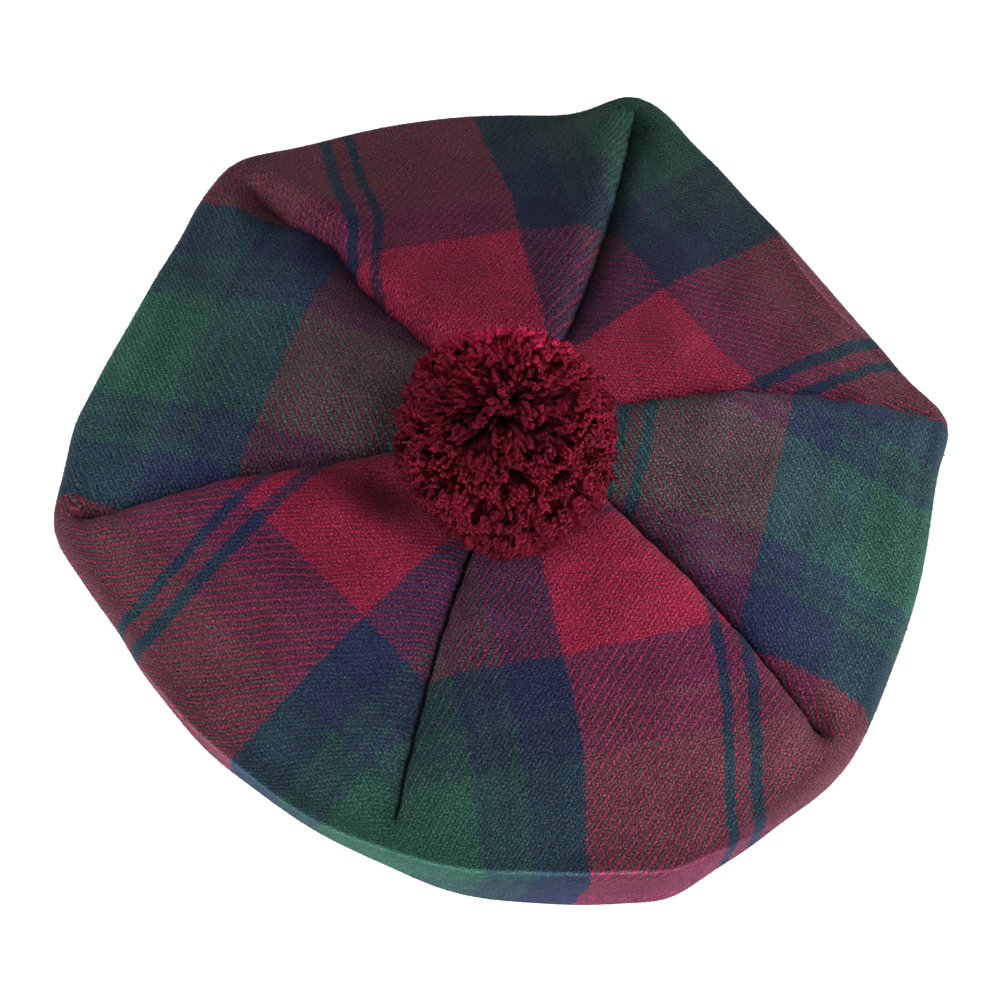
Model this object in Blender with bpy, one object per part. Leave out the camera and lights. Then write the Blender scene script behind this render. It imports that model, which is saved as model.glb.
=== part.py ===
"""Tam o'shanter: a soft six-panel tartan crown on a plain headband, with a yarn pompom.

The hat lies on a surface, crown up, as it rests by itself. +Z is up and -Y is the side nearest
the viewer. Lengths below are in millimetres and angles in degrees; the meshes are in metres.

The cloth is described in three stretches, each measured from 0 to 1:
  top   from the hole at the apex out to the rim
  roll  round the rim, from its upper edge to its lowest line
  under from the rim's lowest line back in to the headband
"""
import math
from collections import namedtuple

import bmesh
import bpy
from mathutils import Vector
from mathutils.noise import seed_set, random_unit_vector, random

MM = 0.001

# ---- driving dimensions -------------------------------------------------------------------
CLOTH = 1.8             # thickness of the milled wool cloth
GAP = 0.3               # clearance between neighbouring pieces
APEX_HOLE = 4.0         # radius of the hole that the pompom's ties pass through
APEX_LEAN = (1.5, -4.0)  # where the apex sits beside the headband's axis
RIM_HALF_WIDTH = 9.5    # of the rolled rim, across
RIM_HALF_HEIGHT = 9.0
RIM_CENTRE_Z = 13.5     # the rolled rim hangs a few millimetres above the surface
ROLL_START = 64.0       # slope angle at which the top turns into the roll
DOME_RISE = 33.0        # apex above the start of the roll
DOME_POWER = 1.9        # 2 is a round dome, lower is more pointed

BAND_RADIUS = 91.5      # inside, for a 57 to 58 cm head
BAND_THICKNESS = 2.2
BAND_HEIGHT = 24.0
SEWN_Z = 20.0           # height at which the crown is sewn round the headband
GATHER_DEPTH = 2.0      # folds of the underside where it is gathered in to the headband
GATHERS_PER_PANEL = 2

GROOVE_WIDTH = 2.2      # how far the cloth dips beside a seam
LIFT_WIDTH = 9.0        # distance from a seam to the crest of the puff beside it
DENT_RADIUS = 6.0       # of the small dent where a seam ends
RELIEF_START = (0.12, 0.32)  # shares of the way to the rim over which seams and puffs begin
CORNER_ROUND = 5.0      # spacing of the points that round off the outline's corners
CORNER_WEIGHTS = ((-2, 0.25), (-1, 0.7), (0, 1.0), (1, 0.7), (2, 0.25))

POMPOM_RADIUS = 34.5
POMPOM_CORE = 26.0      # radius at which the yarn locks part from each other
POMPOM_PLACE = (-6.0, -16.5, 22.0)  # centre, from the apex
LOCK_TAPER = 0.74       # width of a lock's end against its root
LOCK_SPREAD = 2.2       # scatter of the locks' ends
LOCK_DOME = 1.6         # rounded end of a lock
LOCK_LEAST = 3.0        # length of the locks that the cloth presses up
POMPOM_SEAT = 0.8       # yarn above cloth

# One row for each seam, anticlockwise from the crown's joining seam.
#   angle, radius  where the seam meets the rim, from the headband's axis
#   bow            sideways curve of the seam halfway out, + is anticlockwise
#   groove         depth of the seam's groove
#   lift_before    puff on its clockwise side, lift_after on its anticlockwise side
#   stop           share of the way to the rim at which the seam ends
#   hang           rise of the rim at the corner, - is a droop
Seam = namedtuple("Seam", "angle radius bow groove lift_before lift_after stop hang")
SEAMS = (
    Seam(8.0, 138.0, 5.5, 3.0, 4.0, 1.0, 1.00, -1.0),
    Seam(74.0, 145.0, -6.0, 3.0, 1.0, 4.0, 0.97, -0.5),
    Seam(130.0, 149.5, 1.5, 3.5, 4.5, 1.0, 0.95, -1.5),
    Seam(187.0, 148.5, 2.0, 2.5, 1.5, 4.0, 0.97, -2.0),
    Seam(253.0, 140.0, -3.0, 2.5, 2.5, 2.5, 0.90, 0.5),
    Seam(315.0, 144.5, 2.5, 3.0, 2.0, 4.0, 0.94, -1.0),
)

# One row for each panel, which lies between the seam of the same row and the next one.
#   bulge, skew    outward curve of the rim between the corners, and where its crest lies
#   puff           rise of the panel's middle
#   crease         0 is a round rim, 1 a folded one
#   hang           rise of the rim halfway along the panel
Panel = namedtuple("Panel", "bulge skew puff crease hang")
PANELS = (
    Panel(3.0, 0.40, 2.0, 0.3, 1.5),
    Panel(4.5, 0.0, 2.5, 0.2, 1.0),
    Panel(7.5, 0.25, 2.5, 0.2, 1.0),
    Panel(13.0, 0.10, 3.0, 0.8, 1.0),
    Panel(26.0, -0.10, 3.0, 0.8, -2.0),
    Panel(4.0, -0.10, 2.5, 0.4, 1.5),
)

# Grid lines of one panel: across from seam to seam, and along each stretch of the cloth.
ACROSS = (0.0, 0.018, 0.05, 0.11, 0.22, 0.36, 0.5, 0.64, 0.78, 0.89, 0.95, 0.982, 1.0)
TOP_ROWS = 12
ROLL_ROWS = 8
UNDER_ROWS = 5

# Colour, roughness and metallic value of each piece.
PANEL_TINTS = ((0.20, 0.03, 0.06), (0.03, 0.09, 0.07))
BAND_TINT = (0.015, 0.02, 0.045)
YARN_TINT = (0.19, 0.01, 0.03)
WOOL_ROUGHNESS = 0.9


# ---- small helpers ------------------------------------------------------------------------
def smooth_step(low, high, value):
    share = min(max((value - low) / (high - low), 0.0), 1.0)
    return share * share * (3.0 - 2.0 * share)


def mix(first, second, share):
    return first + (second - first) * share


def unit(angle):
    return Vector((math.cos(math.radians(angle)), math.sin(math.radians(angle))))


# ---- plan of the crown --------------------------------------------------------------------
def corner(seam):
    return unit(seam.angle) * seam.radius


def chord_length(panel):
    return (corner(SEAMS[panel]) - corner(SEAMS[(panel + 1) % len(SEAMS)])).length


def rim_point(panel, across):
    """Outermost line of the rim in plan: a bowed chord between two corners."""
    start = corner(SEAMS[panel])
    end = corner(SEAMS[(panel + 1) % len(SEAMS)])
    chord = end - start
    outward = Vector((chord.y, -chord.x)).normalized()
    shape = PANELS[panel]
    arch = 4.0 * across * (1.0 - across)
    lean = 1.0 + shape.skew * (2.0 * across - 1.0) * 2.0
    return start + chord * across + outward * shape.bulge * arch * lean


def rounded_rim_point(panel, across):
    """The rim with its corners rounded off, by a weighted mean with points either side."""
    total = Vector((0.0, 0.0))
    weight_sum = 0.0
    length = chord_length(panel)
    for step, weight in CORNER_WEIGHTS:
        place = across * length + step * CORNER_ROUND
        if place < 0.0:
            other = (panel - 1) % len(PANELS)
            point = rim_point(other, 1.0 + place / chord_length(other))
        elif place > length:
            other = (panel + 1) % len(PANELS)
            point = rim_point(other, (place - length) / chord_length(other))
        else:
            point = rim_point(panel, place / length)
        total += point * weight
        weight_sum += weight
    return total / weight_sum


def seam_bow(panel, across, top):
    """Sideways shift of the cloth, so that the seams curve."""
    before = SEAMS[panel].bow
    after = SEAMS[(panel + 1) % len(SEAMS)].bow
    return mix(before, after, across) * 4.0 * top * (1.0 - top)


# ---- section of the cloth -----------------------------------------------------------------
def crease_at(panel, across):
    """Fold of the rim; neighbouring panels share a value where they meet."""
    here = PANELS[panel].crease
    if across < 0.5:
        return mix(mix(PANELS[panel - 1].crease, here, 0.5), here, smooth_step(0.0, 0.5, across))
    after = PANELS[(panel + 1) % len(PANELS)].crease
    return mix(here, mix(here, after, 0.5), smooth_step(0.5, 1.0, across))


def rim_hang(panel, across):
    """Rise of the rim above its usual height."""
    after = SEAMS[(panel + 1) % len(SEAMS)].hang
    chord = mix(SEAMS[panel].hang, after, across)
    return mix(chord, PANELS[panel].hang, math.sin(math.pi * across) ** 2)


def roll_section(radius, crease, slope):
    """A point of the rolled rim whose outward slope is given, as distance and height."""
    power = 2.0 / (2.0 + 1.6 * crease)
    cosine = math.cos(math.radians(slope))
    sine = math.sin(math.radians(slope))
    out = RIM_HALF_WIDTH * abs(cosine) ** power
    up = RIM_HALF_HEIGHT * math.copysign(abs(sine) ** power, sine)
    return radius - RIM_HALF_WIDTH + out, RIM_CENTRE_Z + up


def section_point(stretch, share, radius, crease):
    """Distance from the axis and height of the cloth's outer face, before its relief."""
    if stretch == "top":
        edge, edge_z = roll_section(radius, crease, ROLL_START)
        reach = mix(APEX_HOLE / edge, 1.0, share)
        return edge * reach, edge_z + DOME_RISE * (1.0 - reach ** DOME_POWER)
    if stretch == "roll":
        return roll_section(radius, crease, mix(ROLL_START, -90.0, share))
    start, start_z = roll_section(radius, crease, -90.0)
    end = BAND_RADIUS + BAND_THICKNESS + GAP
    return mix(start, end, share), mix(start_z, SEWN_Z, share ** 1.6)


def relief(panel, across, top, width):
    """Height of puffs, grooves and dents on the top, above the plain dome."""
    rise = PANELS[panel].puff * 4.0 * across * (1.0 - across) * math.sin(math.pi * top)
    start = smooth_step(*RELIEF_START, top)
    here = SEAMS[panel]
    there = SEAMS[(panel + 1) % len(SEAMS)]
    sides = ((here, across, here.lift_after), (there, 1.0 - across, there.lift_before))
    for seam, share, lift in sides:
        away = share * width
        stitched = start * (1.0 - smooth_step(seam.stop - 0.03, seam.stop + 0.02, top))
        puffed = start * (1.0 - smooth_step(seam.stop - 0.05, 1.0, top))
        crest = (away / LIFT_WIDTH) * math.exp(1.0 - away / LIFT_WIDTH)
        rise += lift * puffed * crest * (1.0 - share) ** 2
        rise -= seam.groove * stitched * math.exp(-away / GROOVE_WIDTH)
        along = (top - seam.stop) * seam.radius
        if seam.stop < 1.0:
            rise -= seam.groove * math.exp(-(away * away + along * along) / DENT_RADIUS ** 2)
    return rise


def gathers(across, under):
    """Soft folds of the underside, deepest near the headband and pressed flat where sewn."""
    fade = smooth_step(0.0, 0.7, under) * (1.0 - smooth_step(0.85, 1.0, under))
    return GATHER_DEPTH * fade * math.cos(2.0 * math.pi * GATHERS_PER_PANEL * across)


def cloth_point(panel, across, stretch, share, depth):
    """A point of the cloth, `depth` millimetres in from its outer face."""
    rim = rounded_rim_point(panel, across)
    radius = rim.length
    crease = crease_at(panel, across)
    step = 0.01
    low = max(share - step, 0.0)
    high = min(share + step, 1.0)
    before = section_point(stretch, low, radius, crease)
    after = section_point(stretch, high, radius, crease)
    tangent = Vector((after[0] - before[0], after[1] - before[1])).normalized()
    distance, height = section_point(stretch, share, radius, crease)
    distance += tangent.y * depth
    height -= tangent.x * depth
    reach = (distance - BAND_RADIUS) / (radius - BAND_RADIUS)
    height += rim_hang(panel, across) * smooth_step(0.1, 0.9, reach)
    if stretch == "under":
        height -= gathers(across, share)
    plan = rim.normalized() * distance
    if stretch == "top":
        width = distance * math.radians(60.0)
        height += relief(panel, across, share, width)
        side = Vector((-rim.y, rim.x)).normalized()
        plan += side * seam_bow(panel, across, share)
        plan += Vector(APEX_LEAN) * (1.0 - share) ** 2
    return Vector((plan.x, plan.y, height))


# ---- crown --------------------------------------------------------------------------------
def stretch_rows():
    """The rows of the grid, as pairs of a stretch and a share of it."""
    rows = [("top", (row / TOP_ROWS) ** 0.85) for row in range(TOP_ROWS)]
    rows += [("roll", row / ROLL_ROWS) for row in range(ROLL_ROWS)]
    rows += [("under", row / UNDER_ROWS) for row in range(UNDER_ROWS + 1)]
    return rows


def pull_from_seam(skin, column, inner_column):
    """Moves a border column in from the seam by half the gap."""
    for row in skin:
        inward = (row[inner_column] - row[column]).normalized()
        row[column] += inward * GAP * 0.5


def panel_skin(panel, depth):
    skin = [[cloth_point(panel, across, stretch, share, depth) for across in ACROSS]
            for stretch, share in stretch_rows()]
    pull_from_seam(skin, 0, 4)
    pull_from_seam(skin, -1, -5)
    return skin


def build_panel(panel):
    """One wedge of cloth: an outer and an inner skin, closed along all four edges."""
    mesh = bmesh.new()
    outer, inner = [
        [[mesh.verts.new(point * MM) for point in row] for row in panel_skin(panel, depth)]
        for depth in (0.0, CLOTH)
    ]
    rows = len(outer)
    columns = len(ACROSS)
    for row in range(rows - 1):
        for column in range(columns - 1):
            nxt = column + 1
            mesh.faces.new((outer[row][column], outer[row + 1][column],
                            outer[row + 1][nxt], outer[row][nxt]))
            mesh.faces.new((inner[row][column], inner[row][nxt],
                            inner[row + 1][nxt], inner[row + 1][column]))
        for column in (0, columns - 1):
            mesh.faces.new((outer[row][column], inner[row][column],
                            inner[row + 1][column], outer[row + 1][column]))
    for column in range(columns - 1):
        for row in (0, rows - 1):
            mesh.faces.new((outer[row][column], outer[row][column + 1],
                            inner[row][column + 1], inner[row][column]))
    bmesh.ops.recalc_face_normals(mesh, faces=mesh.faces)
    return mesh


# ---- headband -----------------------------------------------------------------------------
def build_band():
    """A flat ring whose sides lie parallel to the crown's columns; the hat rests on its lower edge."""
    mesh = bmesh.new()
    profile = (
        (BAND_RADIUS, 0.0),
        (BAND_RADIUS + BAND_THICKNESS, 0.0),
        (BAND_RADIUS + BAND_THICKNESS, BAND_HEIGHT),
        (BAND_RADIUS, BAND_HEIGHT),
    )
    ways = [rounded_rim_point(panel, across).normalized()
            for panel in range(len(PANELS)) for across in ACROSS[:-1]]
    rings = [[mesh.verts.new(Vector((way.x * r, way.y * r, z)) * MM) for r, z in profile]
             for way in ways]
    for side, here in enumerate(rings):
        there = rings[(side + 1) % len(rings)]
        for edge in range(len(profile)):
            nxt = (edge + 1) % len(profile)
            mesh.faces.new((here[edge], there[edge], there[nxt], here[nxt]))
    bmesh.ops.recalc_face_normals(mesh, faces=mesh.faces)
    return mesh


# ---- pompom -------------------------------------------------------------------------------
def panel_under(place):
    """The panel that a place in plan lies over, and how far across it."""
    turn = math.degrees(math.atan2(place.y, place.x))
    for panel, seam in enumerate(SEAMS):
        start = seam.angle
        width = (SEAMS[(panel + 1) % len(SEAMS)].angle - start) % 360.0
        past = (turn - start) % 360.0
        if past < width:
            return panel, past / width
    return 0, 0.0


def top_height(x, y):
    """Height of the crown's outer face over a place in plan."""
    flat = Vector((x, y))
    panel, across = panel_under(flat)
    share = 0.0
    for _ in range(4):
        rim = rounded_rim_point(panel, across)
        edge = roll_section(rim.length, crease_at(panel, across), ROLL_START)[0]
        hole = APEX_HOLE / edge
        straight = flat - Vector(APEX_LEAN) * (1.0 - share) ** 2
        side = Vector((-rim.y, rim.x)).normalized()
        straight -= side * seam_bow(panel, across, share)
        panel, across = panel_under(straight)
        share = min(max((straight.length / edge - hole) / (1.0 - hole), 0.0), 1.0)
    crease = crease_at(panel, across)
    distance, height = section_point("top", share, rounded_rim_point(panel, across).length, crease)
    return height + relief(panel, across, share, distance * math.radians(60.0))


def room_for_yarn(centre, way):
    """How far yarn may reach from the pompom's centre before it touches the cloth."""
    low = 0.0
    high = POMPOM_RADIUS * 1.2
    for _ in range(24):
        middle = 0.5 * (low + high)
        place = centre + way * middle
        if place.z - POMPOM_SEAT > top_height(place.x, place.y):
            low = middle
        else:
            high = middle
    return low


def build_pompom():
    """Locks of cut yarn that part from one core, one lock for each vertex of a round net."""
    seed_set(7)
    lean = Vector(APEX_LEAN)
    apex_z = top_height(lean.x, lean.y)
    centre = Vector((POMPOM_PLACE[0] + lean.x, POMPOM_PLACE[1] + lean.y, POMPOM_PLACE[2] + apex_z))
    net = bmesh.new()
    bmesh.ops.create_icosphere(net, subdivisions=3, radius=1.0)
    mesh = bmesh.new()
    roots = {}
    for face in net.faces:
        way = face.calc_center_median().normalized()
        core = min(POMPOM_CORE, room_for_yarn(centre, way) - LOCK_LEAST)
        roots[face.index] = mesh.verts.new((centre + way * core) * MM)
    for vert in net.verts:
        axis = vert.co.normalized()
        length = POMPOM_RADIUS * (0.96 + 0.05 * random())
        scatter = random_unit_vector() * LOCK_SPREAD / POMPOM_RADIUS
        way = (axis + scatter).normalized()
        cell = sorted(vert.link_faces, key=lambda face: turn_about(axis, face.calc_center_median()))
        ends = []
        for face in cell:
            spoke = mix(way, face.calc_center_median().normalized(), LOCK_TAPER).normalized()
            reach = min(length, room_for_yarn(centre, spoke))
            ends.append(mesh.verts.new((centre + spoke * reach) * MM))
        middle = min(length + LOCK_DOME, room_for_yarn(centre, way))
        tip = mesh.verts.new((centre + way * middle) * MM)
        for index, face in enumerate(cell):
            nxt = (index + 1) % len(cell)
            mesh.faces.new((roots[face.index], roots[cell[nxt].index], ends[nxt], ends[index]))
            mesh.faces.new((ends[index], ends[nxt], tip))
    net.free()
    bmesh.ops.recalc_face_normals(mesh, faces=mesh.faces)
    return mesh


def turn_about(axis, place):
    """Angle of a place round an axis, to put a cell's corners in order."""
    side = axis.orthogonal().normalized()
    other = axis.cross(side)
    return math.atan2(place.dot(other), place.dot(side))


# ---- scene --------------------------------------------------------------------------------
def wool(name, tint):
    material = bpy.data.materials.new(name)
    material.use_nodes = True
    shader = material.node_tree.nodes["Principled BSDF"]
    shader.inputs["Base Color"].default_value = (*tint, 1.0)
    shader.inputs["Roughness"].default_value = WOOL_ROUGHNESS
    shader.inputs["Metallic"].default_value = 0.0
    material.diffuse_color = (*tint, 1.0)
    return material


def add_object(name, mesh, tint):
    data = bpy.data.meshes.new(name)
    mesh.to_mesh(data)
    mesh.free()
    data.materials.append(wool(name, tint))
    data.shade_smooth()
    data.set_sharp_from_angle(angle=math.radians(50.0))
    piece = bpy.data.objects.new(name, data)
    bpy.context.scene.collection.objects.link(piece)
    return piece


def centre_in_plan(pieces):
    """Moves the hat so that its outline is centred on the origin."""
    corners = [vert.co for piece in pieces for vert in piece.data.vertices]
    middle_x = 0.5 * (min(co.x for co in corners) + max(co.x for co in corners))
    middle_y = 0.5 * (min(co.y for co in corners) + max(co.y for co in corners))
    for piece in pieces:
        piece.location = (-middle_x, -middle_y, 0.0)


def main():
    for piece in list(bpy.data.objects):
        bpy.data.objects.remove(piece, do_unlink=True)
    pieces = []
    for panel in range(len(PANELS)):
        tint = PANEL_TINTS[panel % len(PANEL_TINTS)]
        pieces.append(add_object(f"crown_panel_{panel + 1}", build_panel(panel), tint))
    pieces.append(add_object("headband", build_band(), BAND_TINT))
    pieces.append(add_object("pompom", build_pompom(), YARN_TINT))
    centre_in_plan(pieces)


main()
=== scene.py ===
"""The looks of a tartan tam o'shanter: cloth crown, plain headband and yarn pompom.

Lengths are in millimetres and angles in degrees until a mesh is made; the meshes are in metres.
The cloth is described in three stretches, each measured from 0 to 1:
  top   from the hole at the apex out to the rim
  roll  round the rim, from its upper edge to its lowest line
  under from the rim's lowest line back in to the headband
"""
import math
from collections import namedtuple

import bpy
import numpy as np
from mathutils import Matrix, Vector


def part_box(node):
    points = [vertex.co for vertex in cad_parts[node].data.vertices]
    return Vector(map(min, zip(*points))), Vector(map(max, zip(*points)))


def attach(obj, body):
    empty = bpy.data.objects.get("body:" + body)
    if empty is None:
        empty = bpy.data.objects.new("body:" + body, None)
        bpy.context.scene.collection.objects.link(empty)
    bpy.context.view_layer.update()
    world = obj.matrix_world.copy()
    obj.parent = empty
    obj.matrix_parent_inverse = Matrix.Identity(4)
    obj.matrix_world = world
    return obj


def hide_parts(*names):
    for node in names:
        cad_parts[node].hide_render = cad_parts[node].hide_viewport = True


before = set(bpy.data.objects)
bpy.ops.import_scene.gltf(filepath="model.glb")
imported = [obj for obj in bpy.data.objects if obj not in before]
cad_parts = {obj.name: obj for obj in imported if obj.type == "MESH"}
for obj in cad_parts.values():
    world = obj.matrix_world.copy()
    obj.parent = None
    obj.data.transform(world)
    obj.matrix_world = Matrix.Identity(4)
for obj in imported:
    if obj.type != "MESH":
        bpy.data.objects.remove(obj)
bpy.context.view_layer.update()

MM = 0.001
TURN = 2.0 * math.pi
rng = np.random.default_rng(11)


def table(columns, *rows):
    """Rows of sizes with named columns."""
    row = namedtuple("Row", columns)
    return tuple(row(*values) for values in rows)


# ---- the hat's sizes, as in the solids ----
CLOTH = 1.8
APEX_HOLE = 4.0
APEX_LEAN = np.array((1.5, -4.0))
RIM_HALF_WIDTH = 9.5
RIM_HALF_HEIGHT = 9.0
RIM_CENTRE_Z = 13.5
ROLL_START = 64.0  # slopes at which the roll starts and ends
ROLL_END = -90.0
CREASE_SHARPNESS = 1.6
DOME_RISE = 33.0
DOME_POWER = 1.9
BAND_RADIUS = 91.5
BAND_THICKNESS = 2.2
BAND_HEIGHT = 24.0
SEWN_Z = 20.0
SEWN_GAP = 0.3
SEWN_POWER = 1.6
GATHER_DEPTH = 2.0
GATHERS_PER_PANEL = 2
GATHER_FADES = ((0.0, 0.7), (0.85, 1.0))  # where they rise from the rim and end at the band
GROOVE_WIDTH = 2.2
LIFT_WIDTH = 9.0
DENT_RADIUS = 6.0
DENT_LONG = 1.6  # a dent's length along the seam against its width
# Where a seam's forms change by its end, as shares of the way to the rim from there. A puff and a
# dent fade from the one number out to the rim.
GROOVE_FADE = (-0.06, 0.02)
VALLEY_CHANGE = (-0.20, 0.03)
PUFF_FADE = -0.05
DENT_FADE = -0.03
# where the painted shade along the stitches fades out by the seam's end
SEAM_SHADE_FADE = (-0.02, 0.02)
STRIP_CHANGE = (-0.01, 0.03)
# Where other forms start and end, as shares of the way to the rim.
RIM_PUSH_FROM = 0.82  # of the radius
WAVE_FADE = (0.8, 1.0)
SWELL_FADES = ((0.2, 0.45), (0.93, 1.0))
HANG_SHARES = (0.1, 0.9)  # of the way out from the headband
PANEL_LIGHT_BLEND = (0.80, 1.0)  # where a panel's painted light and shade starts to run into its neighbours'
RELIEF_START = (0.12, 0.32)
CORNER_ROUND = 5.0
CORNER_WEIGHTS = ((-2, 0.25), (-1, 0.7), (0, 1.0), (1, 0.7), (2, 0.25))
PANEL_ANGLE = math.radians(60.0)
POMPOM_RADIUS = 34.5
POMPOM_PLACE = np.array((-6.0, -16.5, 22.0))
POMPOM_SEAT = 0.4

# One row for each seam, anticlockwise from the crown's joining seam.
#   angle, radius  where the seam meets the rim, from the headband's axis
#   bow            sideways curve of the seam halfway out, + is anticlockwise
#   groove         depth of the seam's groove
#   lift_before    puff on its clockwise side, lift_after on its anticlockwise side
#   stop           share of the way to the rim at which the seam ends
#   hang           rise of the rim at the corner, - is a droop
#   fold           height by which one side lies over the other, + is the anticlockwise side
#   notch          depth of the sharp line of the stitches
#   dent           depth of the dimple at the seam's end
#   valley         depth of the hollow on the side that lies under the fold
#   press     how dark the painted shade along the line of the stitches is
SEAMS = table(
    "angle radius bow groove lift_before lift_after stop hang fold notch dent valley press",
    (8, 138, 5.5, 1.2, 4, 1, 1.00, -1, -1, 0.4, 0, 0.8, 0.2),
    (74, 145, -6, 3, 1, 3.6, 0.97, -0.5, 1, 0.7, 1, 2.4, 0.4),
    (130, 149.5, 1.5, 1.2, 4.2, 1, 0.93, -1.5, -0.9, 0.2, 0.2, 8, 0.15),
    (187, 148.5, 2, 2.5, 1.5, 4, 0.97, -2, 1.2, 1.8, 2.5, 3, 0.9),
    (253, 140, -3, 1.8, 2.5, 2.5, 0.95, 0.5, 0, 2.6, 1.8, 0, 0.85),
    (315, 144.5, 2.5, 3, 3.8, 2.5, 0.95, -1, -1.8, 2, 4.4, 3, 0.9),
)

# Kinks of the seams: which seam, how far out, spread and sideways push, + is anticlockwise.
KINKS = table("seam place spread push", (2, 0.67, 0.1, -4), (2, 0.5, 0.07, 1))

# One row for each panel, which lies between the seam of the same row and the next one.
#   bulge, skew    outward curve of the rim between the corners, and where its crest lies
#   puff           rise of the panel's middle
#   crease         0 is a round rim, 1 a folded one
#   hang           rise of the rim halfway along the panel
#   drift          how far the strip's stripes lean along the rim, once above its edge and once below
#   roll           length of cloth taken up round the rim
#   strip_from, strip_to  places of the two corners along the strip the crown is cut from
#   weft           middle of the wide green stripe, in from the chord between the corners
#   shade  painted light and shade on its green and navy: how bright they are
PANELS = table(
    "bulge skew puff crease hang drift roll strip_from strip_to weft shade",
    (3, 0.4, 2, 0.3, 1.5, 0, 24, 78, 217, 1, 0.7),
    (4.5, 0, 2.5, 0.2, 1, 0, 24, 200, 349, 9.5, 0.68),
    (7.5, 0.25, 2.5, 0.2, 1, 0, 24, 346, 473, 2.5, 1.24),
    (13, 0.1, 3, 0.8, 1, 0, 34, 473, 616, -7, 0.98),
    (26, -0.1, 3, 0.8, -2, 7, 52, 606, 753, -6, 0.79),
    (4, -0.1, 2.5, 0.4, 1.5, 0, 24, 753, 880, -5, 1.12),
)

# Dents and bumps of the rim: direction and spread in degrees, and outward push.
RIM_BUMPS = table(
    "angle spread push",
    (8, 4.6, 2.4), (62, 7, 1.6), (70.5, 4.5, 3.6), (76, 3.5, 3), (83, 5.5, -2.4),
    (90, 6, -1), (111, 13, 1.2), (127, 5, 2), (136, 4.5, 1.6), (157, 8, -1),
    (173, 4, 1), (187, 4.2, 1), (203, 7, -1), (224, 7, 1.4), (253, 8, -1),
    (272, 9, -2.6), (288, 4.5, 2.6), (305, 6, -1.2), (315, 5, -1.2), (342, 13, 1.8),
)

# Pressed folds of the rim. One row for each direction: the fold's place along the cloth, from where
# the top turns over, and its height.
FRONT_FOLD = table(
    "angle place height",
    (204, 13, 0), (211, 9, 1.5), (224, 4.5, 2.2), (240, 6, 2.2), (250, 4.5, 2.3),
    (260, 1.5, 2.6), (272, -1, 2.7), (285, -1, 2.5), (294, 3, 1.4), (302, 10, 0),
)
BACK_FOLD = table(
    "angle place height",
    (18, 8, 0), (23.5, 0, 1), (27, -2.5, 1.3), (35.5, -3, 1.3), (42, 0, 1),
    (50, 7, 0),
)
FOLD_ROUND = (-3.0, -1.5, 0.0, 1.5, 3.0)  # directions over which a fold's corners are averaged

# Slow swells of the cloth: length and height of each wave, the way it runs and where it starts.
SWELLS = table(
    "length way height start",
    (52, 20, 0.55, 0.4), (37, 75, 0.45, 2.1), (29, 132, 0.32, 4),
    (21, 168, 0.22, 1.3), (16, 48, 0.14, 5.1), (12.5, 101, 0.1, 3.3),
)
# Hollows beside the pompom: place in plan, its way, half its length and width, and depth.
HOLLOWS = table(
    "x y way length width depth",
    (-42, -23, -30, 18, 9, 4.6), (-36, 2, 60, 14, 7, 2),
)
HOLLOW_SHADE = 0.18  # how dark the painted shade in a hollow is, for each millimetre of its depth
NOTCH_WIDTH = 0.5  # the sharp line of the stitches at the bottom of a groove
SEAM_SHADE_WIDTH = 0.5  # width of the painted shade along it
SEAM_WAVE = (14.0, 0.15)  # length and height of the seams' small waves
SECOND_WAVE = (1.73, 0.7)  # a second wave's fineness and height against the first one's
LAP_HIGHLIGHT = 0.06  # painted highlight on a lap's edge, for each millimetre of its height
LAP_EDGE = (1.1, 0.8)  # how far from the seam it is palest, and how fast that fades
FOLD_WIDTH = 5.0
FOLD_EDGE = 0.7
LAP_UNDER = 0.5  # how far the side under a fold is pressed down, against the fold's height
VALLEY_WIDTH = 17.0  # on the side under the fold
VALLEY_CLIFF = 4.6  # on the side of the fold
VALLEY_END = 8.0  # on both sides, past the seam's end
PUCKER_LENGTH = 7.5  # from one stitch pucker to the next
PUCKER_HEIGHT = 0.07
RIDGE_INSIDE = 8.0  # reach of a pressed fold's ridge, on the side of the hat's middle
RIDGE_OUTSIDE = 9.0
RIDGE_FULL = 2.7  # height at which a fold's painted highlight is full
HIGHLIGHT_LINE = 0.5  # width of the painted highlight line, on the fold itself
SHEEN_BAND_START = (-0.4, 0.5)  # where the painted sheen band below a fold starts
SHEEN_BAND_END = (20.0, 34.0)  # and where it ends
HIGHLIGHT_SHARES = (2.8, 0.74)  # how strong the painted highlight on that line and the painted sheen on the band below it are
TOP_RUN = 140.0
RIM_RUN = 24.0

# ---- fineness of the meshes ----
COLUMNS = 84
COLUMN_CROWDING = 0.13  # how far the columns crowd towards the seams
INNER_ROWS = 84
RIM_ROWS = 42  # where the top nears the rim
RIM_ROWS_FROM = 0.88
ROLL_ROWS = 44
UNDER_ROWS = 24
SHARP_ANGLE = math.radians(60.0)
SLOPE_STEP = 0.01  # share of a stretch over which its slope is measured
NAP_HAIRS = 8000  # fibres on each panel
NAP_LENGTH = 1.1
NAP_LIMITS = (0.5, 3.2)
NAP_EVENNESS = 3.0  # how alike the fibres' lengths are
NAP_THICK = 0.070
NAP_STANDING = (0.15, 0.9)  # how steeply a fibre stands, against its lean
NAP_LEAN = 0.55
NAP_ROOT = 0.1  # how deep in the cloth it starts
NAP_ON_RIM = 2.5  # how much denser it stands round the rim
NAP_PALE = 0.55  # most that a fibre is paler than its cloth, as worn nap is

# ---- tartan ----
SETT_UNIT = 0.93
WARP_SPACING = 0.86  # from one thread to the next
WEFT_SPACING = 1.00
# Stripes from one mirror line of the pattern to the other: colour name and width in sett units.
SETT = (
    ("green", 20), ("ink", 4), ("pine", 4), ("ink", 4), ("pine", 4),
    ("navy", 20), ("crimson", 48), ("navy", 4), ("crimson", 3),
)
SETT_WIDTH = sum(width for _, width in SETT)
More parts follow.
